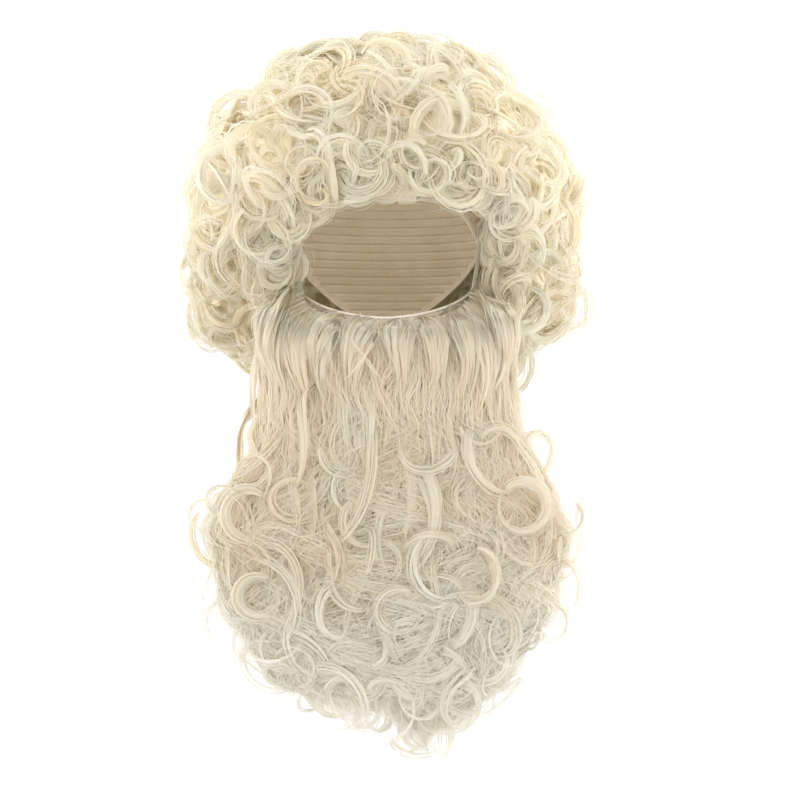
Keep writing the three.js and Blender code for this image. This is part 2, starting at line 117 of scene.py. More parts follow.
THROUGH = 0.5  # the share of light that goes on through a fibre
UNDER_INSET = 0.013  # of the close hair under the loose locks
BEARD_BULGE = 0.8  # 1 makes the beard's level cuts round, and less makes them squarer
STRAY_SHARE = 0.03  # how far strays stand past the CAD box, as a share of its size
STRAY_ROOM = 0.0088  # and what is added to that


def unit(v):
    return v / np.maximum(np.linalg.norm(v, axis=-1, keepdims=True), 1e-12)


def square_to(axis, v):
    """The part of v that is square to a unit axis, as a unit vector."""
    return unit(v - np.sum(v * axis, -1, keepdims=True) * axis)


def stacked(*parts):
    """Points or sizes from their three parts, which may be arrays or plain numbers."""
    return np.stack(np.broadcast_arrays(*parts), -1)


def level(table, z, side):
    """Reads one side of an outline at some heights."""
    return np.interp(z, table[::-1, 0], table[::-1, SIDES[side]])


def uniform(low, high, size):
    return rng.uniform(low, high, size)


def way_along(path):
    """The length of a path up to each of its points."""
    return np.concatenate([[0], np.cumsum(np.linalg.norm(np.diff(path, axis=0), axis=1))])


# The outlines over the loose curls, level by level from the top, in millimetres.
SIDES = dict(left=1, right=2, front=3, back=4)
# The wig: z, left, right, front and back.
WIG = np.array([
    (45, 30, 24, 20, 20),
    (39, 64, 54, 55, 60),
    (26, 88, 80, 90, 100),
    (8, 93, 88, 112, 128),
    (-10, 123, 115, 121, 142),
    (-35, 134, 128, 126, 152),
    (-60, 144, 136, 126, 156),
    (-90, 142, 133, 112, 158),
    (-120, 145, 137, 100, 156),
    (-148, 147, 140, 92, 152),
    (-165, 125, 114, 84, 144),
    (-190, 96, 86, 70, 124),
]) / 1000

# The beard: the same, where front and back are distances before the origin.
BEARD = np.array([
    (-128, 84, 84, 100, 50),
    (-150, 91, 93, 122, 52),
    (-180, 92, 94, 136, 54),
    (-205, 91, 95, 142, 58),
    (-230, 93, 100, 146, 70),
    (-258, 102, 112, 150, 78),
    (-285, 124, 128, 154, 79),
    (-310, 130, 136, 156, 79),
    (-335, 118, 128, 157, 81),
    (-365, 116, 124, 155, 84),
    (-392, 98, 98, 151, 87),
    (-418, 76, 84, 146, 92),
    (-436, 32, 58, 142, 98),
    (-450, 2, 50, 136, 104),
    (-468, -12, 40, 130, 108),
]) / 1000


def wig_point(azimuth, z, inset):
    """A point on the wig's outline, or inset from it. The azimuth is 0 in front and grows to the
    right."""
    side = np.where(np.sin(azimuth) > 0, level(WIG, z, "right"), level(WIG, z, "left"))
    depth = np.where(np.cos(azimuth) > 0, level(WIG, z, "front"), level(WIG, z, "back"))
    return stacked((side - inset) * np.sin(azimuth), -(depth - inset) * np.cos(azimuth), z)


def beard_point(turn, z, inset):
    """A point on the beard's outline, or inset from it. The turn is 0 in front and grows to the
    right."""
    left = -level(BEARD, z, "left") + inset
    right = level(BEARD, z, "right") - inset
    front = -level(BEARD, z, "front") + inset
    back = -level(BEARD, z, "back") - inset
    bulge = lambda v: np.sign(v) * np.abs(v) ** BEARD_BULGE
    return stacked(
        (left + right) / 2 + (right - left) / 2 * bulge(np.sin(turn)),
        (front + back) / 2 - (back - front) / 2 * bulge(np.cos(turn)),
        z,
    )


def way_out(point, turn, z):
    """The way out of the wig or the beard, from neighbouring points."""
    step = 1e-3
    across = point(turn + step, z, 0) - point(turn - step, z, 0)
    down = point(turn, z - 4 * step, 0) - point(turn, z + 4 * step, 0)
    return unit(np.cross(down, across))


def spaced(points, count):
    """Indices of some of the points, far apart from each other."""
    chosen = [0]
    distance = np.linalg.norm(points - points[0], axis=1)
    for _ in range(count - 1):
        nearest = int(np.argmax(distance))
        chosen.append(nearest)
        distance = np.minimum(distance, np.linalg.norm(points - points[nearest], axis=1))
    return np.array(chosen)


def locks(start, end, bow, radius, turns, power, plane, hand=None, phase=None, lean=0.35):
    """Lines that run from start to end and wind in a plane, so that they form waves, loops or
    rings. bow pushes the line's middle aside, radius is the winding's size at the root, middle
    and tip, and plane is the way that the winding faces."""
    count = len(start)
    hand = rng.choice([-1, 1], count) if hand is None else hand
    phase = uniform(0, 2 * math.pi, count) if phase is None else phase
    plane = unit(plane)
    down = np.array([0, 0, -1.0]) + 1e-3
    u = unit(np.cross(plane, down))
    v = np.cross(plane, u)
    return dict(
        start=start, end=end, bow=bow, radius=radius, turns=turns * hand, power=power,
        phase=phase, u=u, v=v, plane=plane, lean=np.full(count, lean),
    )


def wind(lock, t, vary):
    """Points of the locks' lines at t (locks, ribbons, steps). vary holds each ribbon's own
    differences in size and phase."""
    wide = lambda a: a[:, None, None, :]
    one = lambda a: np.asarray(a)[:, None, None]
    tt = t[..., None]
    axis = wide(lock["start"]) * (1 - tt) + wide(lock["end"]) * tt
    axis = axis + wide(lock["bow"]) * (4 * tt * (1 - tt))
    r0, r1, r2 = (one(lock["radius"][:, i]) for i in range(3))
    size = r0 * (1 - t) * (1 - 2 * t) + r1 * 4 * t * (1 - t) + r2 * t * (2 * t - 1)
    size = np.maximum(size, 0) * (1 + vary["size"][..., None])
    angle = one(lock["phase"]) + 2 * math.pi * one(lock["turns"]) * t ** one(lock["power"])
    angle = angle + vary["phase"][..., None] * t
    swing = wide(lock["u"]) * np.cos(angle)[..., None] + wide(lock["v"]) * np.sin(angle)[..., None]
    swing = swing + wide(lock["plane"]) * (0.22 * np.sin(angle * 0.5 + 1.0))[..., None]
    return axis + swing * size[..., None]


def hull_normal(points):
    """The way out of the mass of hair, at points on the wig or the beard."""
    wig = points / np.array([0.14, 0.14, 0.12]) ** 2 + np.array([0, 0, 3.5])
    beard = (points - np.array([0, -0.085, 0])) / np.array([0.12, 0.06, 9.0]) ** 2
    share = np.clip((-0.135 - points[..., 2:3]) / 0.05, 0, 1) * (points[..., 1:2] < -0.04)
    return unit(unit(wig) * (1 - share) + unit(beard) * share)


def hold_in(points):
    """Bends stray hairs back, so that they stand only a little proud of the CAD model's box."""
    low, high = (np.array(corner, float) for corner in cad_box)
    room = STRAY_SHARE * (high - low) + STRAY_ROOM
    soft = 0.006
    over = np.maximum(points - (high + room - soft), 0)
    points = points - over + soft * (1 - np.exp(-over / soft))
    under = np.maximum((low - room + soft) - points, 0)
    return points + under - soft * (1 - np.exp(-under / soft))


def strips(centre, across, span, soft, tilt, tone, depth):
    """Ribbons as a dict: the points of both edges, normals that lean out there, tone and depth, which is
    the share of painted shade for hair that lies deep.
    """
    edges = centre - across * span, centre + across * span
    leaning = unit(soft - tilt * across), unit(soft + tilt * across)
    points, normals = (np.stack(pair, -2).reshape(len(tone), -1, 2, 3) for pair in (edges, leaning))
    return dict(points=points, normals=normals, tone=np.clip(tone, 0, 1), depth=depth)


def ribbons(lock, count, half, width, steps, loose, wild, depth, bend, flat, shortest, thin):
    """Ribbons in a bundle round each lock's line, as a dict of arrays. half is the bundle's half
    width, and loose and wild are how far each ribbon strays from the bundle."""
    n = len(lock["start"])
    shape = (n, count)
    longest = uniform(shortest, 1.0, shape)
    s = np.linspace(0, 1, steps + 1)
    t = s[None, None, :] * longest[..., None]
    vary = dict(size=rng.normal(0, wild, shape), phase=rng.normal(0, 2.0 * wild, shape))
    line = wind(lock, t, vary)
    still = dict(size=np.zeros((n, 1)), phase=np.zeros((n, 1)))
    guide = wind(lock, s[None, None, :] * np.ones((n, 1, 1)), still)[:, 0]
    tangent = unit(np.gradient(guide, axis=1))
    # The bundle is flat, and its wide side lies in the plane of the winding.
    plane = square_to(tangent, lock["plane"][:, None])
    lean = rng.normal(0, 1, (n, 1)) + rng.normal(0, 1, (n, 1)) * s[None, :]
    lean = (lean * lock["lean"][:, None])[..., None]
    side = np.cross(tangent, plane)
    side = side * np.cos(lean) + plane * np.sin(lean)
    other = np.cross(tangent, side)
    turn = 2 * math.pi * (np.arange(count)[None, :] + uniform(0, 1, (n, 1))) / count
    angle = (turn + rng.normal(0, 0.25, shape))[..., None] + uniform(-1, 1, (n, 1, 1)) * s
    reach = uniform(0.6, 1.05, shape)[..., None]
    spread = (0.45 + 0.55 * np.sin(math.pi * np.minimum(s * 1.1, 1.0) ** 0.8)) * reach
    a = np.broadcast_to(np.asarray(half, float).reshape(-1, 1, 1), (n, 1, 1))
    b = a * flat
    ca, sa = np.cos(angle), np.sin(angle)
    offset = (a * ca * spread)[..., None] * side[:, None] + (b * sa * spread)[..., None] * other[:, None]
    drift = rng.normal(0, loose, (n, count, 1, 3)) * (s**1.3)[None, None, :, None]
    wave = np.sin(
        2 * math.pi * s[None, None, :] * uniform(1.0, 3.0, shape)[..., None]
        + uniform(0, 6.3, shape)[..., None]
    )
    drift = drift + wave[..., None] * rng.normal(0, loose * 0.4, (n, count, 1, 3))
    centre = hold_in(line + offset + drift)
    heading = unit(np.gradient(centre, axis=2))
    normal = (ca / a)[..., None] * side[:, None] + (sa / b)[..., None] * other[:, None]
    normal = square_to(heading, unit(normal))
    across = np.cross(heading, normal)
    taper = np.clip(np.minimum(0.3 + s * 6, 1) * (1 - s**thin) + 0.06, 0, 1)
    span = 0.5 * width * uniform(0.7, 1.3, shape)[..., None] * taper[None, None, :]
    hull = hull_normal(centre)
    facing = np.sum(normal * hull, -1, keepdims=True)
    soft = normal + bend * np.clip(facing * 4, -1, 1) * hull
    tone = np.repeat(rng.normal(0.5, 0.15, n), count) + rng.normal(0, 0.15, n * count)
    depth = np.repeat(np.broadcast_to(depth, n), count)
    return strips(centre, across, span[..., None], soft, 0.4, tone, depth)


def bundle(lock, half, bands, width, fine, strays, depth, steps=18, flat=0.3):
    """A lock: a few broad bands, the fine ribbons over them and the thin hairs that stray."""
    half = np.asarray(half, float)
    found = []
    # depth is the share of painted shade for hair that lies deep, and the sixth column adds more painted
    # shade to the broad bands, which lie under the fine ribbons.
    for count, wider, breadth, loose, wild, added_shade, bend, thick, shortest, thin in (
        (bands, 0.8, width, 0.0004, 0.03, 0.06, 2.0, flat, 0.75, 1.8),
        (fine, 1.15, 0.0008, 0.0009, 0.06, 0.0, 2.0, flat * 1.3, 0.6, 2.4),
        (strays, 1.7, 0.00042, 0.0026, 0.14, 0.0, 2.2, 0.7, 0.5, 2.4),
    ):
        if count:
            found.append(ribbons(
                lock, count, half * wider, breadth, steps, loose, wild, depth + added_shade, bend, thick,
                shortest, thin,
            ))
    return found


def set_inputs(tree, node, inputs):
    """Sets or links a node's inputs, by their names or numbers."""
    for key, value in inputs.items():
        if isinstance(value, bpy.types.NodeSocket):
            tree.links.new(value, node.inputs[key])
        else:
            node.inputs[key].default_value = value


def add_node(tree, kind, inputs=None):
    node = tree.nodes.new("ShaderNode" + kind)
    set_inputs(tree, node, inputs or {})
    return node


def new_material(name):
    """A material with a Principled shader."""
    material = bpy.data.materials.new(name)
    material.use_nodes = True
    tree = material.node_tree
    tree.nodes.clear()
    shader = add_node(tree, "BsdfPrincipled")
    add_node(tree, "OutputMaterial", {"Surface": shader.outputs["BSDF"]})
    return material, tree, shader


def ramp(tree, factor, stops):
    node = add_node(tree, "ValToRGB", {"Fac": factor})
    elements = node.color_ramp.elements
    while len(elements) < len(stops):
        elements.new(0.5)
    for element, (position, colour) in zip(elements, stops):
        element.position = position
        element.color = (*colour, 1)
    return node.outputs["Color"]


def arithmetic(tree, operation, a, b):
    node = add_node(tree, "Math", {0: a, 1: b})
    node.operation = operation
    return node.outputs[0]


def weighted(tree, parts):
    """The sum of some sockets, each times its share."""
    total = None
    for socket, share in parts:
        part = arithmetic(tree, "MULTIPLY", socket, share)
        total = part if total is None else arithmetic(tree, "ADD", total, part)
    return total


def noise(tree, vector, scale, detail=2.0):
    inputs = {"Vector": vector, "Scale": scale, "Detail": detail}
    return add_node(tree, "TexNoise", inputs).outputs["Fac"]


def relief(tree, height, strength, distance):
    inputs = {"Height": height, "Strength": strength, "Distance": distance}
    return add_node(tree, "Bump", inputs).outputs["Normal"]


def attribute(tree, name):
    node = add_node(tree, "Attribute")
    node.attribute_name = name
    return node


def hair_material(name, deep, body, light, painted_light_below):
    """Satin fibre. Fine streaks run along each band, hair that lies deep is painted darker and
    yellower as painted shade, and the hair is painted paler below a height as painted light."""
    material, tree, shader = new_material(name)
    strand = attribute(tree, "strand")
    parts = add_node(tree, "SeparateColor", {"Color": strand.outputs["Color"]})
    tone, depth, along = (parts.outputs[i] for i in range(3))
    ways = ((strand.outputs["Alpha"], 14.0), (along, 1.6), (tone, 90.0))
    scaled = {i: arithmetic(tree, "MULTIPLY", *way) for i, way in enumerate(ways)}
    streaks = noise(tree, add_node(tree, "CombineXYZ", scaled).outputs[0], 1.0, 5.0)
    place = add_node(tree, "TexCoord").outputs["Object"]
    mixed = weighted(tree, ((tone, 0.25), (noise(tree, place, 22.0), 0.25), (streaks, 0.65)))
    # Hair that lies deep is pulled towards the deep stop: painted shade.
    mixed = arithmetic(tree, "SUBTRACT", mixed, arithmetic(tree, "MULTIPLY", depth, 0.30))
    # Below a height the colour is lifted towards the pale stop: painted light on the beard's thin ends.
    height = add_node(tree, "SeparateXYZ", {0: place}).outputs[2]
    low = arithmetic(tree, "MULTIPLY", arithmetic(tree, "SUBTRACT", painted_light_below, height), 3.0)
    low = arithmetic(tree, "MINIMUM", arithmetic(tree, "MAXIMUM", low, 0.0), 0.17)
    stops = [(0.26, deep), (0.50, body), (0.72, light)]
    colour = ramp(tree, arithmetic(tree, "ADD", mixed, low), stops)
    tangent = add_node(tree, "Tangent")
    tangent.direction_type = "UV_MAP"
    tangent.uv_map = "OFBake"
    set_inputs(tree, shader, {
        "Base Color": colour,
        "Roughness": arithmetic(tree, "ADD", arithmetic(tree, "MULTIPLY", streaks, 0.18), 0.24),
        "Specular IOR Level": 0.7,
        "Anisotropic": 0.6,
        "Normal": relief(tree, streaks, 0.42, 0.0005),
        "Tangent": tangent.outputs[0],
    })
    through = add_node(tree, "BsdfTranslucent", {"Color": colour})
    inputs = {"Fac": THROUGH, 1: shader.outputs["BSDF"], 2: through.outputs["BSDF"]}
    both = add_node(tree, "MixShader", inputs)
    set_inputs(tree, tree.nodes["Material Output"], {"Surface": both.outputs[0]})
    return material


def cloth_material(name, colour, shade, scale, roughness, bump, holes=None):
    """Cloth with a fine knit: small regular bumps and a slow change of colour. A net has holes,
    which show in another colour."""
    material, tree, shader = new_material(name)
    place = add_node(tree, "TexCoord").outputs["Object"]
    tint = ramp(tree, noise(tree, place, 40.0, 4.0), [(0.3, shade), (0.7, colour)])
    weave = add_node(tree, "TexVoronoi", {"Scale": scale, "Vector": place})
    distance = weave.outputs["Distance"]
    if holes:
        weave.feature = "DISTANCE_TO_EDGE"
        thread = ramp(tree, distance, [(0.08, (1, 1, 1)), (0.20, holes)])
        mix = add_node(tree, "Mix")
        mix.data_type = "RGBA"
        mix.blend_type = "MULTIPLY"
        set_inputs(tree, mix, {"Factor": 1.0, 6: tint, 7: thread})
        tint = mix.outputs[2]
    normal = relief(tree, distance, bump, 0.0004)
    set_inputs(tree, shader, {"Base Color": tint, "Roughness": roughness, "Normal": normal})
    return material


def under_material(name, deep, body, light):
    """Close hair seen between the loose locks: fine streaks along the flow."""
    material, tree, shader = new_material(name)
    flow = attribute(tree, "flow").outputs["Vector"]
    stretch = add_node(tree, "VectorMath", {0: flow, 1: (1100, 30, 70)})
    stretch.operation = "MULTIPLY"
    streaks = noise(tree, stretch.outputs[0], 1.0)
    patches = noise(tree, add_node(tree, "TexCoord").outputs["Object"], 30.0)
    mixed = weighted(tree, ((streaks, 0.7), (patches, 0.3)))
    colour = ramp(tree, mixed, [(0.34, deep), (0.5, body), (0.66, light)])
    normal = relief(tree, streaks, 0.35, 0.0008)
    set_inputs(tree, shader, {"Base Color": colour, "Roughness": 0.42, "Normal": normal})
    return material


def add_piece(name, mesh, material, nodes=()):
    """Puts a mesh in the scene as a piece that rides on the root in place of some CAD nodes."""
    mesh.materials.append(material)
    piece = bpy.data.objects.new(name, mesh)
    bpy.context.collection.objects.link(piece)
    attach(piece, "root")
    if nodes:
        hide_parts(*nodes)
    return piece


def smooth_mesh(name, points, faces):
    mesh = bpy.data.meshes.new(name)
    mesh.from_pydata(points, [], faces)
    mesh.polygons.foreach_set("use_smooth", [True] * len(mesh.polygons))
    return mesh


def hair_piece(name, sets, material, nodes):
    """One mesh of all the ribbons in sets. Each ribbon has its own cell of the texture map."""
    cells = math.ceil(math.sqrt(sum(len(s["tone"]) for s in sets)))
    parts = []
    first_vertex, first_ribbon = 0, 0
    for s in sets:
        count, rows = s["points"].shape[:2]
        along = np.linspace(0, 1, rows)
        colour = np.ones((count, rows, 2, 4), np.float32)
        colour[..., 0] = s["tone"][:, None, None]
        # The second channel is the share of painted shade for hair that lies deep.
        colour[..., 1] = s["depth"][:, None, None]
        colour[..., 2] = along[None, :, None]
        colour[..., 3] = np.array([0.0, 1.0])
        cell = first_ribbon + np.arange(count)
        low = np.stack([cell % cells, cell // cells], -1)[:, None, None, :] / cells
        grid = stacked(np.array([0.0, 1.0])[None, None, :], along[None, :, None])
        first = first_vertex + (np.arange(count) * rows * 2)[:, None, None]
        step = (np.arange(rows - 1) * 2)[None, :, None]
        parts.append((
            s["points"].reshape(-1, 3),
            s["normals"].reshape(-1, 3),
            colour.reshape(-1, 4),
            (low + (0.12 + 0.76 * grid) / cells).reshape(-1, 2),
            (first + step + np.array([0, 1, 3, 2])[None, None, :]).reshape(-1, 4),
        ))
        first_vertex += count * rows * 2
        first_ribbon += count
    points, normals, colours, uvs, faces = (np.concatenate(part) for part in zip(*parts))
    mesh = bpy.data.meshes.new(name)
    mesh.vertices.add(len(points))
    mesh.vertices.foreach_set("co", points.astype(np.float32).ravel())
    mesh.loops.add(len(faces) * 4)
    mesh.loops.foreach_set("vertex_index", faces.astype(np.int32).ravel())
    mesh.polygons.add(len(faces))
    mesh.polygons.foreach_set("loop_start", np.arange(0, len(faces) * 4, 4, dtype=np.int32))
    mesh.update(calc_edges=True)
    mesh.polygons.foreach_set("use_smooth", np.ones(len(faces), bool))
    layer = mesh.color_attributes.new("strand", "FLOAT_COLOR", "POINT")
    layer.data.foreach_set("color", colours.astype(np.float32).ravel())
    layer = mesh.uv_layers.new(name="OFBake")
    layer.data.foreach_set("uv", uvs[faces.ravel()].astype(np.float32).ravel())
    mesh.normals_split_custom_set_from_vertices(normals.tolist())
    add_piece(name, mesh, material, nodes)


def grid_faces(columns, rows, closed):
    """The quads of a grid whose points run column by column."""
    return [
        (c * rows + r, c * rows + r + 1, (c + 1) % columns * rows + r + 1, (c + 1) % columns * rows + r)
        for c in range(columns if closed else columns - 1)
        for r in range(rows - 1)
    ]


def grid_piece(name, points, thickness, material, nodes=(), closed=False):
    """A curved sheet through points (columns, rows, 3), given a thickness on its inner side."""
    faces = grid_faces(*points.shape[:2], closed)
    mesh = smooth_mesh(name, points.reshape(-1, 3).tolist(), faces)
    piece = add_piece(name, mesh, material, nodes)
    if thickness:
        wall = piece.modifiers.new("wall", "SOLIDIFY")
        wall.thickness = thickness
        wall.offset = -1
    return piece


def head_share(drop):
    drop = np.asarray(drop, float)
    dome = (1 - (1 - np.clip(drop, 0, CROWN_HEIGHT) / CROWN_HEIGHT) ** DOME_POWER) ** (1 / DOME_POWER)
    low = np.clip((drop - CROWN_HEIGHT) / (NAPE_DROP - CROWN_HEIGHT), 0, 1)
    return np.where(drop < CROWN_HEIGHT, dome, 1 - (1 - NAPE_SHARE) * low**2 * (3 - 2 * low))


def head_point(angle, drop, stand_off):
    def place(a, d):
        share = head_share(d)
        return stacked(HEAD_HALF_WIDTH * share * np.sin(a), -HEAD_HALF_DEPTH * share * np.cos(a), -d)

    step = 1e-4
    across = place(angle + 0.01, drop) - place(angle - 0.01, drop)
    down = place(angle, drop + step) - place(angle, np.maximum(drop - step, 0))
    return place(angle, drop) + stand_off * unit(np.cross(down, across))


# The cap's edge: how far it drops from the top, by the angle from the front in degrees.
RIM = np.array([
    (0, HAIRLINE_DROP),
    (42, HAIRLINE_DROP + 0.004),
    (54, EAR_TAB_DROP - 0.012),
    (62, EAR_TAB_DROP),
    (72, EAR_TAB_DROP - 0.004),
    (92, OVER_EAR_DROP),
    (110, 0.78 * OVER_EAR_DROP + 0.22 * NAPE_DROP),
    (128, (OVER_EAR_DROP + NAPE_DROP) / 2),
    (146, 0.27 * OVER_EAR_DROP + 0.73 * NAPE_DROP),
    (164, 0.07 * OVER_EAR_DROP + 0.93 * NAPE_DROP),
    (180, NAPE_DROP),
])


def cap_edge(angles):
    return np.interp(np.abs((np.degrees(angles) + 180) % 360 - 180), *RIM.T)


def lace_top(across):
    """How far the lace's edge drops, from its middle (0) to its corners (-1 and 1)."""
    return LACE_MIDDLE_DROP - LACE_CORNER_RISE * np.abs(across) ** 1.8


def lace_point(across, down, stand_off):
    size = 1 - (1 - CHIN_SHARE) * down**2
    angle = across * math.radians(LACE_EDGE_ANGLE)
    return stacked(
        (LACE_HALF_WIDTH * size + stand_off) * np.sin(angle),
        -(LACE_DEPTH * size + stand_off) * np.cos(angle),
        -lace_top(across) - LACE_HEIGHT * down * (1 - 0.2 * np.abs(across)),
    )


def make_cap(material):
    angles = np.radians(np.arange(0, 360, 4.0))
    drops = cap_edge(angles)[:, None] * (np.linspace(0.02, 1, 26) ** 1.5)[None, :]
    points = head_point(angles[:, None], drops, CAP_WALL)
    return grid_piece("cap", points, CAP_WALL, material, ["wig_cap"], closed=True)


def make_wefts(material):
    """Rows of sewn hair inside the cap: narrow raised bands that run level round it."""
    points, faces = [], []
    angles = np.radians(np.arange(0, 360, 3.0))
    rim = cap_edge(angles)
    bulge = ((0, -0.0001), (0.0005, -0.0006), (0.0020, -0.0006), (0.0026, -0.0001))
    for drop in np.arange(0.008, 0.156, 0.0065):
        ring = np.stack([head_point(angles, drop + d, off) for d, off in bulge], 1)
        held = rim > drop + 0.004
        first = len(points)
        columns, rows = ring.shape[:2]
        points += ring.reshape(-1, 3).tolist()
        for c in range(columns):
            n = (c + 1) % columns
            if held[c] and held[n]:
                a, b = first + c * rows, first + n * rows
                faces += [(a + r, b + r, b + r + 1, a + r + 1) for r in range(rows - 1)]
    used = sorted({i for face in faces for i in face})
    place = {old: new for new, old in enumerate(used)}
    faces = [tuple(place[i] for i in face) for face in faces]
    return add_piece("wefts", smooth_mesh("wefts", [points[i] for i in used], faces), material)


def make_lace(material):
    across = np.linspace(-1, 1, 61)[:, None]
    down = np.linspace(0, 1, 25)[None, :]
    points = lace_point(across, down, LACE_THICKNESS)
    points[:, 0, 2] += 0.8 * BINDING_RADIUS
    piece = grid_piece("lace", points, LACE_THICKNESS * 0.6, material, ["beard_lace"])
    return piece


def tube(path, radius, sides):
    heading = unit(np.gradient(path, axis=0))
    out = square_to(heading, unit(path * (1, 1, 0)))
    up = np.cross(heading, out)
    turn = np.linspace(0, 2 * math.pi, sides, endpoint=False)
    ring = np.cos(turn)[None, :, None] * out[:, None] + np.sin(turn)[None, :, None] * up[:, None]
    return path[:, None] + radius * ring


def make_binding(material):
    across = np.linspace(-1, 1, 90)
    path = lace_point(across, 0.0 * across, LACE_THICKNESS / 2)
    path[:, 2] += BINDING_RADIUS + 1.5 * SEAT_GAP
    rings = tube(path, BINDING_RADIUS, 10).transpose(1, 0, 2)
    nodes = ["lace_edge_binding"]
    return grid_piece("binding", rings, 0, material, nodes, closed=True)


def strap_path(side):
    angle = side * math.radians(STRAP_ANGLE)
    drops = np.array([0.086, 0.100, 0.111])
    on_head = head_point(np.full(3, angle), drops, CAP_WALL + SEAT_GAP)
    down = np.array([0, 0.073, 0.145])
    stand_off = LACE_THICKNESS / 2 + BINDING_RADIUS + SEAT_GAP
    on_lace = lace_point(np.full(3, side * 0.94), down, stand_off)
    knots = np.concatenate([on_head, on_lace])
    length = way_along(knots)
    at = np.linspace(0, length[-1], 40)
    return np.stack([np.interp(at, length, knots[:, i]) for i in range(3)], -1)


def make_straps(material):
    """Each strap is a clear band with three raised elastic cords along it."""
    faces, points = [], []
    for side in (-1, 1):
        path = strap_path(side)
        angle = side * math.radians(STRAP_ANGLE)
        out = unit(head_point(angle, 0.1, 0.001) - head_point(angle, 0.1, 0.0))
        across = np.cross(out, [0, 0, -1.0])
        share = np.linspace(-1, 1, 25)
        height = 0.00035 + 0.0006 * np.cos(share * 3 * math.pi) ** 2
        under = path[:, None] + across * share[None, :, None] * STRAP_WIDTH / 2
        top = under + out * height[None, :, None]
        ring = np.concatenate([top, under[:, ::-1]], axis=1)
        first = len(points)
        rows, cols = ring.shape[:2]
        points += ring.reshape(-1, 3).tolist()
        for r in range(rows - 1):
            for c in range(cols):
                a, b = first + r * cols + c, first + r * cols + (c + 1) % cols
                faces.append((a, b, b + cols, a + cols))
    nodes = ["strap_left", "strap_right"]
    return add_piece("straps", smooth_mesh("straps", points, faces), material, nodes)


def wig_places(count, inset):
    """Azimuths and heights spread evenly over the wig, without the face opening and the beard."""
    many = 9000
    azimuth = uniform(-math.pi, math.pi, many)
    z = uniform(-0.186, 0.044, many)
    step = 1e-3
    across = wig_point(azimuth + step, z, inset) - wig_point(azimuth - step, z, inset)
    down = wig_point(azimuth, z - step, inset) - wig_point(azimuth, z + step, inset)
    area = np.linalg.norm(np.cross(across, down), axis=1)
    keep = uniform(0, 1, many) < np.clip(area / np.quantile(area, 0.97), 0, 1)
    at = wig_point(azimuth, z, inset)
    in_face = (at[:, 0] > -0.077) & (at[:, 0] < 0.089) & (at[:, 2] < -0.060) & (at[:, 1] < 0)
    over_beard = (at[:, 2] < -0.135) & (at[:, 1] < -0.05)
    keep &= ~in_face & ~over_beard
    azimuth, z, at = azimuth[keep], z[keep], at[keep]
    chosen = spaced(at, count)
    return azimuth[chosen], z[chosen]


def curl_locks(at, out, sizes, ring_share, tilt=0.35):
    """Curls that lie on a surface: rings, and hanging ones that loop as they fall."""
    count = len(at)
    sideways = unit(np.cross(np.array([0, 0, 1.0]) + 1e-3, out))
    down = np.cross(sideways, out)
    roll = rng.normal(0, 0.9, count)[:, None]
    hang = unit(down * np.cos(roll) + sideways * np.sin(roll))
    ring = uniform(0, 1, count) < ring_share
    ahead = np.zeros((count, 3))
    ahead[:, 1] = np.where(at[:, 1] < 0.02, -1.0, 1.0) * np.maximum(uniform(-0.9, 1.2, count), 0)
    plane = unit(out + ahead + rng.normal(0, tilt, (count, 3)))
    reach = uniform(*sizes, count) * np.where(ring, 1.0, 0.85)
    length = np.where(ring, uniform(0.0, 0.010, count), uniform(0.020, 0.046, count))[:, None]
    rise = out * uniform(-0.003, 0.003, (count, 1))
    return locks(
        start=at - hang * length * 0.5 - rise,
        end=at + hang * length * 0.5 + rise,
        bow=rng.normal(0, 0.003, (count, 3)),
        radius=stacked(reach * uniform(0.8, 1.35, count), reach, reach * uniform(0.35, 0.95, count)),
        turns=np.where(ring, uniform(0.75, 1.45, count), uniform(0.8, 1.7, count)),
        power=uniform(0.85, 1.25, count),
        plane=plane,
    )


def wig_curls(count, inset, sizes, ring_share):
    azimuth, z = wig_places(count, inset)
    at = wig_point(azimuth, z, inset)
    return curl_locks(at, way_out(wig_point, azimuth, z), sizes, ring_share), azimuth, z


# The edge of the face opening, as seen from in front, from the left temple over the brow: x and
# z in millimetres.
OPENING = np.array([
    (-64, -142), (-63, -120), (-60, -100), (-49, -86), (-29, -75), (-7, -70), (18, -67),
    (40, -66), (60, -73), (70, -83), (75, -98), (75, -120), (73, -142),
]) / 1000


def front_point(x, z, inset):
    """The point of the wig's front that stands over x and z, and the way out there."""
    side = np.where(x > 0, level(WIG, z, "right"), level(WIG, z, "left")) - inset
    azimuth = np.arcsin(np.clip(x / side, -0.995, 0.995))
    return wig_point(azimuth, z, inset), way_out(wig_point, azimuth, z)


def edge_curls():
    """Curls along the edge of the face opening, which hide where the hair ends."""
    found = []
    length = way_along(OPENING)
    middle = np.array([0.005, -0.120])
    for count, half, bands, fine, strays, reach, apart in (
        (44, 0.0050, 4, 8, 2, (0.010, 0.015), 0.017),
        (44, 0.0044, 4, 8, 2, (0.008, 0.013), 0.012),
        (44, 0.0022, 0, 6, 4, (0.006, 0.011), 0.009),
    ):
        way = (np.linspace(0, 1, count) + rng.normal(0, 0.01, count)) * length[-1]
        place = np.stack([np.interp(way, length, OPENING[:, i]) for i in range(2)], -1)
        place += unit(place - middle) * (apart + rng.normal(0, 0.002, (count, 1)))
        at, out = front_point(place[:, 0], place[:, 1], 0.006)
        out = unit(out * 0.5 + np.array([0, -0.7, 0]))
        found += bundle(curl_locks(at, out, reach, 0.6, 0.3), half, bands, 0.0026, fine, strays, 0.1, 17)
    return found


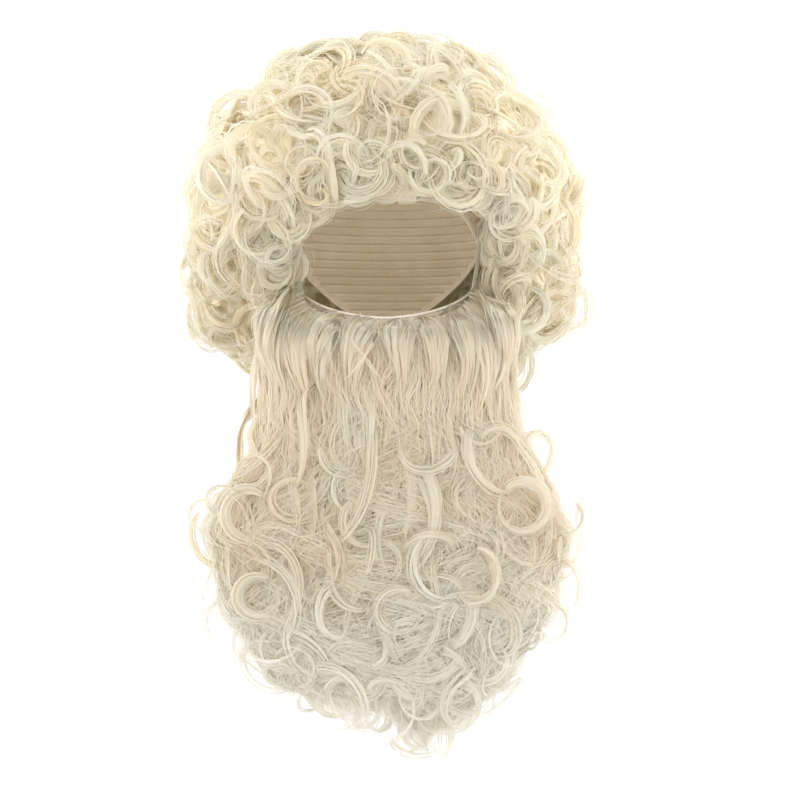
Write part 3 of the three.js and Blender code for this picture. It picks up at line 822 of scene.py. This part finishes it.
def placed_curls(rows, point):
    """Curls that are set one by one. A row holds, in millimetres, x, z, radius, half width, the way
    that it drifts in x and z and how far it stands out, then the angle where it begins, its turns
    (anticlockwise from in front), and its counts of bands, fine ribbons and strays."""
    found = []
    for *lengths, begin, turns, bands, fine, strays in rows:
        x, z, reach, half, drift_x, drift_z, out_by = (round(v / 1000, 7) for v in lengths)
        at, out = point(np.array([x]), np.array([z]), -out_by)
        half *= 0.85
        drift = np.array([[drift_x, 0.0, drift_z]])
        lock = locks(
            start=at - drift / 2,
            end=at + drift / 2,
            bow=np.zeros((1, 3)),
            radius=np.array([[reach, reach, reach * 0.8]]),
            turns=np.array([turns]),
            power=np.ones(1),
            plane=unit(out * 0.5 + np.array([[0, -0.8, 0]])),
            hand=np.ones(1),
            phase=np.radians([begin]),
        )
        found += bundle(lock, half, bands, half * 0.8, fine, strays, 0.0, 26, 0.35)
    return found


def masses(azimuth, z):
    """The name of the mass of hair that each lock belongs to."""
    turn = np.degrees(azimuth)
    names = np.full(len(z), "side_hair_right", dtype=object)
    names[turn < 0] = "side_hair_left"
    names[np.abs(turn) > 180 - BACK_HALF_ANGLE] = "back_hair"
    names[np.abs(turn) < FRINGE_HALF_ANGLE] = "fringe_hair"
    names[z > CROWN_SPLIT] = "crown_hair"
    return names


def pick(lock, mask):
    return {key: value[mask] for key, value in lock.items()}


WIG_NODES = {
    "crown_hair": ["crown_curls"],
    "fringe_hair": ["fringe_curls"],
    "side_hair_left": ["side_curls_left"],
    "side_hair_right": ["side_curls_right"],
    "back_hair": ["back_curls"],
}


def fringe_wisps():
    """Small curls that hang from the hairline over the brow and the temples."""
    found = []
    for count, half, bands, fine, strays in ((34, 0.0030, 2, 7, 3), (40, 0.0012, 0, 3, 4)):
        across = np.linspace(-1, 1, count) + rng.normal(0, 0.03, count)
        angle = across * 0.82
        root = head_point(angle, 0.046 + 0.012 * across**2, 0.014)
        fall = 0.012 + 0.018 * np.abs(across) ** 3 + uniform(-0.004, 0.010, count)
        end = root + stacked(0.004 * np.sign(across), -0.010, -fall)
        lock = locks(
            root,
            end,
            stacked(rng.normal(0, 0.004, count), uniform(-0.014, -0.006, count), 0),
            stacked(*(uniform(*size, count) for size in ((0.001, 0.003), (0.005, 0.009), (0.006, 0.011)))),
            uniform(0.7, 1.3, count),
            np.full(count, 1.2),
            stacked(0.5 * np.sin(angle), -1, 0) + rng.normal(0, 0.3, (count, 3)),
        )
        found += bundle(lock, half, bands, 0.0022, fine, strays, 0.15, 17)
    return found


WIG_CURLS = {
    "fringe_hair": [
        (-77, -57, 12.5, 4.2, 0, 0, 3, 200, 1.1, 3, 12, 3),
        (-50, -60, 13, 3.4, 4, -6, 3, 20, 0.8, 2, 9, 3),
        (-11, -41, 14.5, 3, 4, -4, 3, 150, 0.95, 2, 9, 3),
        (23, -41, 11, 3.6, 6, 2, 3, 40, 1.15, 3, 10, 3),
        (31, -56, 12.5, 3.4, 2, -2, 4, 170, 0.95, 2, 10, 3),
        (72, -58, 12.5, 3.6, 0, 0, 3, 300, 0.9, 2, 10, 3),
        (52, -52, 10, 3, 3, 0, 3, 130, 0.8, 2, 8, 2),
    ],
    "crown_hair": [
        (-29, 8, 15, 6, 16, -2, 2, 250, 0.7, 4, 10, 2),
        (-50, 14, 13, 4, 0, -4, 3, 30, 0.85, 3, 10, 3),
        (42, 9, 12.5, 4, 4, -4, 3, 60, 0.9, 3, 10, 3),
        (68, 4, 14, 4.4, 2, -6, 2, 100, 0.8, 3, 10, 3),
        (-84, -1, 14, 4.6, -2, -6, 3, 20, 0.9, 3, 10, 3),
        (10, -4, 17, 4.8, -4, -2, 2, 330, 0.75, 3, 9, 2),
    ],
    "side_hair_left": [
        (-118, -53, 18, 6.8, -2, -10, 0, 60, 0.85, 5, 12, 3),
        (-93, -94, 15, 5, 0, -4, 2, 120, 1, 4, 10, 3),
        (-122, -118, 14.5, 5.2, 0, 0, 0, 30, 1.2, 4, 12, 3),
        (-118, -148, 15, 5, 2, -4, 0, 170, 0.9, 4, 10, 3),
    ],
    "side_hair_right": [
        (110, -55, 18.5, 7, 2, -10, 0, 110, 0.8, 5, 12, 3),
        (90, -86, 14, 4.4, 0, -4, 2, 20, 0.95, 3, 10, 3),
        (119, -122, 15, 5.2, 0, 0, 0, 300, 1.1, 4, 12, 3),
        (104, -149, 16.5, 5.2, 0, -4, 0, 200, 0.95, 4, 10, 3),
    ],
}


def make_wig_hair(material):
    found = {name: [] for name in WIG_NODES}
    layers = [
        # count, inset, radii, share of rings, depth (share of painted shade), half width, bands, band
        # width, fine, strays, steps
        (260, 0.012, (0.012, 0.022), 0.5, 0.16, 0.0070, 6, 0.0040, 2, 0, 14),
        (270, 0.006, (0.012, 0.023), 0.6, 0.06, 0.0060, 5, 0.0030, 8, 2, 16),
        (170, 0.002, (0.012, 0.023), 0.65, 0.0, 0.0046, 2, 0.0026, 9, 4, 17),
        (150, -0.004, (0.010, 0.021), 0.6, 0.0, 0.0022, 0, 0.0014, 3, 5, 17),
    ]
    for count, inset, radii, rings, depth, half, bands, width, fine, strays, steps in layers:
        lock, azimuth, z = wig_curls(count, inset, radii, rings)
        names = masses(azimuth, z)
        for name in found:
            mask = names == name
            if mask.any():
                found[name] += bundle(pick(lock, mask), half, bands, width, fine, strays, depth, steps)
    found["fringe_hair"] += edge_curls() + fringe_wisps()
    for name, rows in WIG_CURLS.items():
        found[name] += placed_curls(rows, front_point)
    for name, sets in found.items():
        hair_piece(name, sets, material, WIG_NODES[name])


def beard_places(count, many, top, bottom, inset, front_share):
    """Points spread evenly over the beard, with their turns and heights."""
    z = uniform(bottom, top, many)
    turn = np.arcsin(uniform(-1, 1, many))
    turn = np.where(uniform(0, 1, many) < front_share, turn, math.pi - turn)
    at = beard_point(turn, z, inset)
    chosen = spaced(at, count)
    return at[chosen], turn[chosen], z[chosen]


def beard_flow(count, top, bottom, length, inset, end_inset, front_share):
    """Roots and ends of locks that hang down the beard and fan out a little."""
    at, turn, z = beard_places(count, count * 12, top, bottom, inset, front_share)
    low = np.maximum(z - length * uniform(0.75, 1.25, count), -0.444)
    end = beard_point(turn + rng.normal(0, 0.12, count), low, end_inset * uniform(0.3, 1.7, count))
    return at, end, turn


def beard_curls(count, top, bottom, inset, sizes, front_share, ring_share):
    """Curls that lie on the beard."""
    at, turn, z = beard_places(count, count * 14, top, bottom, inset, front_share)
    return curl_locks(at, way_out(beard_point, turn, z), sizes, ring_share)


def combed_locks():
    """Close locks that leave the lace and fall over the mouth and cheeks."""
    count = 50
    across = np.linspace(-1, 1, count) + rng.normal(0, 0.5 / count, count)
    across = np.clip(across, -1, 1)
    down = uniform(0.20, 0.60, count)
    root = lace_point(across, down, HAIR_OFF_LACE)
    turn = np.arcsin(np.clip(across * 0.90, -1, 1)) + rng.normal(0, 0.05, count)
    low = -0.240 + rng.normal(0, 0.014, count) - 0.012 * (1 - np.abs(across)) - 0.03 * down
    end = beard_point(turn, low, uniform(0.004, 0.012, count))
    aside = np.sign(across) * np.abs(across) ** 2.2
    bow = stacked(
        0.004 * np.tanh(5 * across) + 0.006 * aside,
        -0.010 + 0.003 * np.abs(across),
        0.012 + 0.016 * np.abs(across) ** 2,
    )
    bow *= uniform(0.75, 1.15, (count, 1))
    return locks(
        root,
        end,
        bow,
        stacked(0, uniform(0.001, 0.003, count), uniform(0.003, 0.008, count)),
        uniform(0.5, 0.9, count),
        np.full(count, 1.7),
        stacked(root[:, 0] * 9, -1, 0) + rng.normal(0, 0.1, (count, 3)),
        lean=0.14,
    )


def beard_front(x, z, inset):
    """The point of the beard's front that stands over x and z, and the way out there."""
    left, right = -level(BEARD, z, "left"), level(BEARD, z, "right")
    share = np.clip((x - (left + right) / 2) / ((right - left) / 2), -0.99, 0.99)
    turn = np.arcsin(np.sign(share) * np.abs(share) ** (1 / BEARD_BULGE))
    return beard_point(turn, z, inset), way_out(beard_point, turn, z)


BEARD_FALL_CURLS = [
    (-27, -254, 15, 3.4, 6, -2, 1, 170, 0.55, 2, 10, 3),
    (68, -232, 15, 3.4, 2, 0, 1, 190, 0.5, 2, 10, 3),
    (30, -246, 20, 3.6, -4, -10, 1, 330, -0.45, 2, 10, 3),
    (94, -291, 17, 5, 0, 0, 3, 130, -1.2, 4, 12, 4),
    (-94, -297, 17, 4.8, 0, 0, 1, 60, 1.35, 4, 10, 3),
    (-126, -298, 11.5, 1, 0, 0, 3, 70, 0.95, 0, 5, 3),
    (-12, -302, 16, 3.4, 2, -4, 2, 130, 0.6, 2, 10, 3),
]
BEARD_END_CURLS = [
    (42, -332, 24, 4.6, -4, -10, 2, 110, 0.65, 3, 12, 4),
    (62, -338, 17, 3.6, 2, -4, 2, 80, -0.8, 2, 10, 3),
    (10, -364, 16, 3.8, 0, 0, 2, 60, 0.95, 2, 11, 3),
    (-18, -344, 18, 3.8, 4, -6, 2, 150, 0.55, 2, 10, 3),
    (-87, -354, 14, 5.8, -1, -1, 3, 60, 1.55, 5, 12, 3),
    (-74, -392, 15, 3.6, 4, -8, 0, 300, 1.1, 2, 9, 3),
    (-114, -378, 19, 1.6, 0, -6, 3, 100, 0.45, 0, 6, 3),
    (-26, -424, 12.5, 1.8, 0, 0, 0, 40, 1.1, 0, 8, 3),
    (59, -423, 15, 2.4, 10, -2, 0, 120, 0.8, 0, 8, 3),
    (69, -399, 16.5, 4, 0, -4, 1, 200, 0.8, 2, 10, 3),
    (131, -333, 10, 1, 0, 0, 1, 90, 1.05, 0, 5, 3),
    (114, -374, 15, 2.6, 6, -2, 1, 110, -0.8, 1, 8, 3),
    (128, -300, 11, 1.2, 0, -4, 1, 60, -1, 0, 5, 3),
    (21, -412, 13, 4.4, 6, -4, 1, 200, 0.6, 3, 9, 3),
]


def tail_locks():
    """The pointed end of the beard, right of its middle: a few waved locks and a hook."""
    count = 14
    share = np.linspace(-1, 1, count)
    root = stacked(0.024 + 0.024 * share, -0.128, -0.408 + 0.004 * share**2)
    tip = stacked(0.026 + 0.018 * share, -0.122 + 0.008 * np.sin(share * 9), -0.478 + 0.014 * np.abs(share))
    lock = locks(
        root,
        tip + rng.normal(0, 0.002, (count, 3)),
        rng.normal(0, 0.004, (count, 3)),
        stacked(*(uniform(*size, count) for size in ((0.001, 0.003), (0.004, 0.007), (0.005, 0.009)))),
        uniform(0.8, 1.5, count),
        np.ones(count),
        np.array([[0, -1.0, 0]]) + rng.normal(0, 0.2, (count, 3)),
    )
    hook = locks(
        np.array([[0.018, -0.124, -0.455]]),
        np.array([[0.034, -0.122, -0.452]]),
        np.zeros((1, 3)),
        np.array([[0.014, 0.016, 0.015]]),
        np.array([0.42]),
        np.ones(1),
        np.array([[0, -1.0, 0]]),
        np.ones(1),
        np.radians([190]),
    )
    tail = bundle(lock, 0.0050, 5, 0.0036, 8, 3, 0.05, 20)
    return tail + bundle(hook, 0.0030, 2, 0.0024, 9, 4, 0.0, 22)


def laid_hair(count, top, bottom, length, inset, width, waves, loose, roll, depth):
    """Hair that lies close along the beard. Each hair falls down the surface in slow waves that
    its neighbours share. waves is the size of the waves at the top and at the bottom, and roll
    is how far both ends are tucked in."""
    many = count * 6
    column = (count, 1)
    turn = uniform(-1.9, 1.9, many)
    high = uniform(bottom, top, many)
    chosen = spaced(beard_point(turn, high, 0.0), count)
    turn, high = turn[chosen][:, None], high[chosen][:, None]
    across = np.clip(turn / math.radians(LACE_EDGE_ANGLE), -1, 1)
    high = np.minimum(high, -lace_top(across) - 0.0008)
    on_lace = high > LIP_Z
    steps = 14
    s = np.linspace(0, 1, steps + 1)[None, :]
    z = np.maximum(high - length * uniform(0.7, 1.2, column) * s, -0.440 + uniform(0, 0.02, column))
    share = np.clip((-0.16 - z) / 0.24, 0, 1)
    size = waves[0] + (waves[1] - waves[0]) * share
    beat = 2 * math.pi * z / 0.062 + 3.0 * turn + 1.6 * np.sin(4.0 * turn + 0.7)
    aside = size * np.sin(beat) + 0.4 * size * np.sin(2.3 * beat + 5 * turn)
    aside = aside + loose * s * rng.normal(0, 1, column)
    beats, begin = uniform(0.6, 2.0, column), uniform(0, 6, column)
    aside = aside + loose * 0.5 * np.sin(2 * math.pi * s * beats + begin)
    arch = 0.011 * np.tanh(3 * turn) * (np.abs(turn) < 1.3) * np.sin(math.pi * s) * on_lace
    around = turn + (aside + arch) / 0.10
    rooted = np.clip(1 - s / 0.16, 0, 1) * on_lace
    sunk = inset + (0.012 + 0.009 * across**2) * rooted + 0.0022 * np.sin(beat + 1.2) * share
    sunk = sunk + rng.normal(0, 0.0008, column)
    sunk = sunk + roll * np.abs(2 * s - 1) ** 2.5 * ((s > 0.5) | (high < LIP_Z))
    centre = hold_in(beard_point(around, z, sunk))
    heading = unit(np.gradient(centre, axis=1))
    normal = square_to(heading, way_out(beard_point, around, z))
    taper = np.clip(np.minimum(0.25 + s * 5, 1) * (1 - s**2.0) + 0.05, 0, 1)
    span = 0.5 * width * uniform(0.7, 1.3, column) * taper
    soft = unit(normal + 0.5 * hull_normal(centre))
    tone = 0.5 + 0.10 * np.sin(9 * turn[:, 0] + 40 * high[:, 0]) + rng.normal(0, 0.16, count)
    found = strips(
        centre, np.cross(heading, normal), span[..., None], soft, 0.3, tone, np.full(count, depth)
    )
    return dict(found, root=centre[:, 0])


def by_side(x):
    """The upper masses of the beard, each with a mask of what is rooted in it."""
    return (
        ("cheek_left", x < -CHEEK_SPLIT),
        ("moustache", np.abs(x) <= CHEEK_SPLIT),
        ("cheek_right", x > CHEEK_SPLIT),
    )


def share_out(sets, hair):
    """Puts each hair of a set in the piece that its root belongs to."""
    x, z = hair["root"][:, 0], hair["root"][:, 2]
    names = np.full(len(x), "moustache", dtype=object)
    for name, mask in by_side(x):
        names[mask] = name
    names[z < FALL_TOP] = "fall"
    names[z < ENDS_TOP] = "curls"
    for name in sets:
        mask = names == name
        if mask.any():
            sets[name].append(pick(hair, mask))


# Broad satin locks that arch out from the lace's edge over the mouth and cheeks: x and z of the
# root and of the tip, and how far the middle bows out, in millimetres.
SWEPT = [
    (-82, -140, -86, -196, -12),
    (-66, -143, -76, -202, -18),
    (-56, -148, -66, -212, -16),
    (-48, -153, -50, -228, -15),
    (-30, -158, -40, -214, -11),
    (-14, -160, -22, -206, -5),
    (8, -161, 8, -208, 2),
    (26, -159, 34, -212, 8),
    (40, -155, 52, -216, 11),
    (54, -150, 68, -218, 12),
    (66, -144, 80, -208, 14),
    (80, -140, 88, -198, 11),
]


def swept_locks():
    """The swept locks, each with two close neighbours, and the x of their roots."""
    rows = np.repeat(np.array(SWEPT) / 1000, 3, axis=0)
    count = len(rows)
    rows[:, :4] += rng.normal(0, 1, (count, 4)) * (0.0035, 0.0004, 0.0040, 0.0060)
    angle = np.arcsin(np.clip(rows[:, 0] / (LACE_HALF_WIDTH + 0.001), -0.88, 0.88))
    across = angle / math.radians(LACE_EDGE_ANGLE)
    root = lace_point(across, uniform(0.0, 0.04, count), HAIR_OFF_LACE)
    tip, _ = beard_front(rows[:, 2], rows[:, 3], uniform(0.004, 0.010, count))
    ahead = uniform(0.017, 0.021, count) + 0.020 * (rows[:, 0] / 0.08) ** 2
    lock = locks(
        root,
        tip,
        stacked(rows[:, 4], -ahead, uniform(0.007, 0.011, count)),
        stacked(0, 0.0008, uniform(0.002, 0.006, count)),
        uniform(0.3, 0.7, count),
        np.full(count, 2.2),
        stacked(rows[:, 0] * 6, -1, 0),
        np.where(rows[:, 0] < 0, 1, -1),
        uniform(1.2, 1.9, count),
        0.08,
    )
    return lock, rows[:, 0]


def crossed_strands():
    """Two thin pale strands that cross over the lip."""
    start = np.array([[-0.025, -0.146, -0.172], [-0.008, -0.146, -0.176]])
    end = np.array([[0.006, -0.150, -0.209], [-0.031, -0.150, -0.202]])
    lock = locks(
        start, end, np.array([[-0.003, -0.006, 0.0], [0.003, -0.008, 0.0]]),
        np.full((2, 3), 0.0015), np.array([0.6, 0.5]), np.ones(2), np.array([[0, -1.0, 0]] * 2),
        lean=0.1,
    )
    return bundle(lock, 0.0012, 1, 0.0014, 6, 2, 0.0, 20, 0.3)


LAID_HAIR = [
    # count, top, bottom, length, inset, width, waves, loose, roll, depth (share of painted shade)
    (230, -0.13, -0.172, 0.082, 0.0020, 0.0034, (0.001, 0.004), 0.003, 0.012, 0.34),
    (360, -0.13, -0.172, 0.080, 0.0005, 0.0016, (0.001, 0.005), 0.004, 0.012, 0.26),
    (700, -0.13, -0.172, 0.076, -0.0010, 0.0007, (0.001, 0.006), 0.006, 0.009, 0.18),
    (300, -0.205, -0.37, 0.085, 0.0065, 0.0030, (0.003, 0.009), 0.003, 0.004, 0.20),
    (420, -0.205, -0.38, 0.085, 0.0050, 0.0014, (0.003, 0.010), 0.005, 0.003, 0.14),
    (1300, -0.200, -0.39, 0.070, 0.0030, 0.0006, (0.003, 0.011), 0.008, 0.002, 0.0),
    (1300, -0.150, -0.40, 0.050, 0.0005, 0.0004, (0.003, 0.012), 0.016, 0.002, 0.0),
    (1000, -0.290, -0.42, 0.045, -0.0015, 0.0005, (0.004, 0.015), 0.020, 0.002, 0.0),
]
BEARD_TIERS = [
    # name, count, top, bottom, length, insets, front share, end radii, turns, depth (share of painted
    # shade), half, bands, band width, fine, strays
    ("fall", 60, -0.19, -0.31, 0.12, 0.014, 0.01, 0.45, (0.009, 0.016), 1.3, 0.12, 0.009, 8, 0.0048, 2, 0),
    ("fall", 34, -0.23, -0.31, 0.09, 0.006, 0.001, 0.72, (0.013, 0.022), 1, 0.02, 0.0042, 2, 0.0024, 10, 4),
    ("curls", 54, -0.3, -0.4, 0.07, 0.013, 0.008, 0.6, (0.012, 0.019), 1.3, 0.1, 0.007, 6, 0.0036, 4, 0),
    ("curls", 38, -0.3, -0.41, 0.07, 0.008, 0.001, 0.75, (0.01, 0.022), 1.3, 0, 0.0038, 2, 0.0022, 9, 4),
]
BEARD_RINGS = [
    # name, count, top, bottom, inset, radii, front share, share of rings, half, bands, fine, strays
    ("fall", 30, -0.245, -0.325, 0.003, (0.014, 0.024), 0.75, 0.4, 0.0034, 1, 9, 4),
    ("curls", 34, -0.325, -0.415, 0.006, (0.010, 0.025), 0.72, 0.6, 0.0040, 2, 10, 4),
    ("curls", 46, -0.330, -0.430, 0.002, (0.009, 0.022), 0.7, 0.6, 0.0026, 0, 8, 5),
    ("curls", 60, -0.385, -0.440, 0.004, (0.010, 0.018), 0.65, 0.6, 0.0024, 0, 6, 4),
]


def make_beard_hair(material):
    sets = {name: [] for name in ("moustache", "cheek_left", "cheek_right", "fall", "curls")}
    lock = combed_locks()
    for name, mask in by_side(lock["start"][:, 0]):
        sets[name] += bundle(pick(lock, mask), 0.0090, 8, 0.0040, 1, 0, 0.05, 18, 0.16)
    for row in LAID_HAIR:
        share_out(sets, laid_hair(*row))
    lock, x = swept_locks()
    for name, mask in by_side(x):
        sets[name] += bundle(pick(lock, mask), 0.0092, 8, 0.0042, 14, 3, 0.12, 18, 0.12)
    sets["moustache"] += crossed_strands()

    for row in BEARD_TIERS:
        name, count, top, bottom, length, inset, end_inset, front, radii, turns, depth = row[:11]
        half, bands, width, fine, strays = row[11:]
        root, end, turn = beard_flow(count, top, bottom, length, inset, end_inset, front)
        tip = uniform(*radii, count)
        outward = way_out(beard_point, turn, root[:, 2])
        lock = locks(
            root,
            end,
            outward * uniform(0.002, 0.010, (count, 1)) + rng.normal(0, 0.004, (count, 3)),
            stacked(uniform(0.001, 0.003, count), tip * uniform(0.45, 0.8, count), tip),
            uniform(0.75, 1.25, count) * turns,
            np.full(count, 1.35),
            outward + rng.normal(0, 0.25, (count, 3)),
            lean=0.25,
        )
        sets[name] += bundle(lock, half, bands, width, fine, strays, depth, 20, 0.22)
    for name, count, top, bottom, inset, radii, front, rings, half, bands, fine, strays in BEARD_RINGS:
        lock = beard_curls(count, top, bottom, inset, radii, front, rings)
        sets[name] += bundle(lock, half, bands, 0.0026, fine, strays, 0.05, 17)

    sets["fall"] += placed_curls(BEARD_FALL_CURLS, beard_front)
    sets["curls"] += placed_curls(BEARD_END_CURLS, beard_front) + tail_locks()
    nodes = dict(
        moustache=["moustache_fall"],
        cheek_left=["cheek_locks_left"],
        cheek_right=["cheek_locks_right"],
        fall=["beard_fall"],
        curls=["beard_curls"],
    )
    for name, found in sets.items():
        hair_piece(f"beard_{name}_hair", found, material, nodes[name])


def under_piece(name, points, centres, swirl, relief, material):
    """A close mass of hair: fine streaks that wind round each curl's centre, or fall in waves.
    swirl says how much of the surface winds, from 0 to 1 at each point."""
    normal = unit(np.cross(np.gradient(points, axis=1), np.gradient(points, axis=0)))
    flat = points.reshape(-1, 3)
    away = np.linalg.norm(flat[:, None] - centres[None], axis=2)
    nearest = np.argmin(away, axis=1)
    span = away[np.arange(len(flat)), nearest].reshape(points.shape[:2])
    offset = (flat - centres[nearest]).reshape(points.shape)
    across = unit(np.gradient(points, axis=0))
    down = np.cross(normal, across)
    angle = np.arctan2(np.sum(offset * across, -1), np.sum(offset * down, -1))
    cell = nearest.reshape(span.shape)
    jitter = rng.uniform(0, 1, len(centres))[cell]
    size = (0.010 + 0.006 * jitter) * relief[1]
    raised = np.sin(math.pi * np.clip(span / size, 0, 1.5)) * relief[0]
    along = np.cumsum(np.linalg.norm(np.gradient(points, axis=0), axis=-1), axis=0)
    wave = 0.006 * np.sin(points[..., 2] * 95 + 6 * np.sin(along * 24)) * np.sin(along * 31)
    lift = relief[0] * np.sin((along + wave) * 260 + 2.5 * np.sin(points[..., 2] * 38))
    flow = stacked(
        np.where(swirl, span, along + wave),
        np.where(swirl, np.abs(angle) * 0.012, points[..., 2]),
        np.where(swirl, jitter, 0.3),
    )
    points = points + normal * np.where(swirl, raised, lift)[..., None]
    piece = grid_piece(name, points, 0, material)
    layer = piece.data.attributes.new("flow", "FLOAT_VECTOR", "POINT")
    layer.data.foreach_set("vector", flow.reshape(-1, 3).astype(np.float32).ravel())
    return piece


def make_under_hair(wig_material, beard_material):
    azimuth = np.linspace(-math.pi, math.pi, 241)[:, None]
    z = np.linspace(0.026, -0.174, 96)[None, :]
    azimuth, z = np.broadcast_arrays(azimuth, z)
    points = wig_point(azimuth, z, UNDER_INSET)
    front = np.cos(azimuth) > 0
    half = FACE_HALF_WIDTH + 0.004
    inside = front & (np.abs(points[..., 0]) < half) & (z < FACE_TOP)
    points[inside, 1] = -0.02
    many = wig_point(uniform(-math.pi, math.pi, 4000), uniform(-0.17, 0.03, 4000), UNDER_INSET)
    centres = many[spaced(many, 300)]
    piece = under_piece(
        "wig_under_hair", points, centres, np.ones(z.shape, bool), (0.0035, 1.0), wig_material
    )
    drop_faces(piece, lambda c: abs(c.x) < half and c.y < -0.012 and c.z < FACE_TOP)
    turn = np.linspace(-math.pi, math.pi, 221)[:, None]
    z = np.linspace(-0.172, -0.405, 114)[None, :]
    turn, z = np.broadcast_arrays(turn, z)
    many = beard_point(uniform(-math.pi, math.pi, 4000), uniform(-0.44, -0.26, 4000), UNDER_INSET)
    centres = many[spaced(many, 200)]
    swirl = z < -0.300 + 0.02 * np.sin(turn * 7)
    under_piece(
        "beard_under_hair",
        beard_point(turn, z, UNDER_INSET * np.clip((-0.150 - z) / 0.04, 0.6, 1)),
        centres,
        swirl,
        (0.003, 1.2),
        beard_material,
    )


def drop_faces(piece, test):
    """Takes out the faces whose middles pass a test."""
    mesh = bmesh.new()
    mesh.from_mesh(piece.data)
    gone = [f for f in mesh.faces if test(f.calc_center_median())]
    bmesh.ops.delete(mesh, geom=gone, context="FACES")
    mesh.to_mesh(piece.data)
    mesh.free()


def make_studio():
    camera = bpy.data.objects.new("camera", bpy.data.cameras.new("camera"))
    camera.location = (CAMERA_X, CAMERA_Y, CAMERA_Z)
    camera.rotation_euler = (math.pi / 2, 0, 0)
    camera.data.lens = LENS
    camera.data.sensor_width = 36
    bpy.context.collection.objects.link(camera)
    bpy.context.scene.camera = camera

    # A wide, flat, pale floor, the same from every side, under an even white sky.
    rim = [
        (FLOOR_RADIUS * math.cos(a), FLOOR_RADIUS * math.sin(a), FLOOR_Z)
        for a in np.linspace(0, 2 * math.pi, 48, endpoint=False)
    ]
    mesh = bpy.data.meshes.new("studio")
    mesh.from_pydata(rim, [], [tuple(range(48))])
    studio = bpy.data.objects.new("studio", mesh)
    bpy.context.collection.objects.link(studio)
    white, tree, shader = new_material("studio_white")
    set_inputs(tree, shader, {
        "Base Color": (0, 0, 0, 1),
        "Roughness": 1.0,
        "Specular IOR Level": 0.0,
        "Emission Color": (1, 1, 1, 1),
        "Emission Strength": WHITE,
    })
    mesh.materials.append(white)

    world = bpy.data.worlds.new("studio")
    world.use_nodes = True
    background = world.node_tree.nodes["Background"]
    set_inputs(world.node_tree, background, {"Color": (1, 1, 1, 1), "Strength": WHITE})
    bpy.context.scene.world = world
    bpy.context.scene.view_settings.view_transform = "Standard"

    for name, (place, size, power) in LAMPS.items():
        light = bpy.data.objects.new(name, bpy.data.lights.new(name, "AREA"))
        light.data.size = size
        light.data.energy = power
        light.location = place
        aim = Vector(np.array([0, 0, -0.2]) - np.array(place))
        light.rotation_euler = aim.to_track_quat("-Z", "Y").to_euler()
        bpy.context.collection.objects.link(light)


make_studio()
wig_fibre = hair_material(
    "wig_fibre", (0.955, 0.84, 0.56), (0.972, 0.915, 0.745), (0.985, 0.962, 0.885), -9.0
)
# The beard's fibre is painted paler below z = -0.33, painted light on its thin ends. The wig's height lies
# below all its hair, so the wig gets none.
beard_fibre = hair_material(
    "beard_fibre", (0.925, 0.79, 0.58), (0.94, 0.872, 0.715), (0.978, 0.95, 0.875), -0.33
)
cap_cloth = cloth_material("cap_cloth", (0.90, 0.81, 0.64), (0.84, 0.73, 0.55), 900, 0.85, 0.9)
weft = cloth_material("weft", (0.93, 0.87, 0.70), (0.84, 0.74, 0.54), 1500, 0.6, 1.0)
net = cloth_material(
    "lace_net", (0.86, 0.79, 0.66), (0.78, 0.70, 0.56), 750, 0.8, 0.9, holes=(0.62, 0.55, 0.46)
)
bound = cloth_material("edge_binding", (0.93, 0.86, 0.76), (0.88, 0.79, 0.68), 1500, 0.5, 0.3)
clear = cloth_material("clear_elastic", (0.93, 0.90, 0.87), (0.86, 0.82, 0.78), 700, 0.2, 0.2)
make_straps(clear)
make_cap(cap_cloth)
make_wefts(weft)
make_lace(net)
make_binding(bound)
# The close hair under the loose locks is partly the hair's own colour and partly painted shade: its colours
# are darker and yellower than the loose fibres', for hair that lies deep.
make_under_hair(
    under_material("wig_under_hair", (0.93, 0.80, 0.50), (0.945, 0.87, 0.66), (0.96, 0.915, 0.77)),
    under_material("beard_under_hair", (0.93, 0.76, 0.56), (0.935, 0.85, 0.67), (0.955, 0.905, 0.78)),
)
make_wig_hair(wig_fibre)
make_beard_hair(beard_fibre)
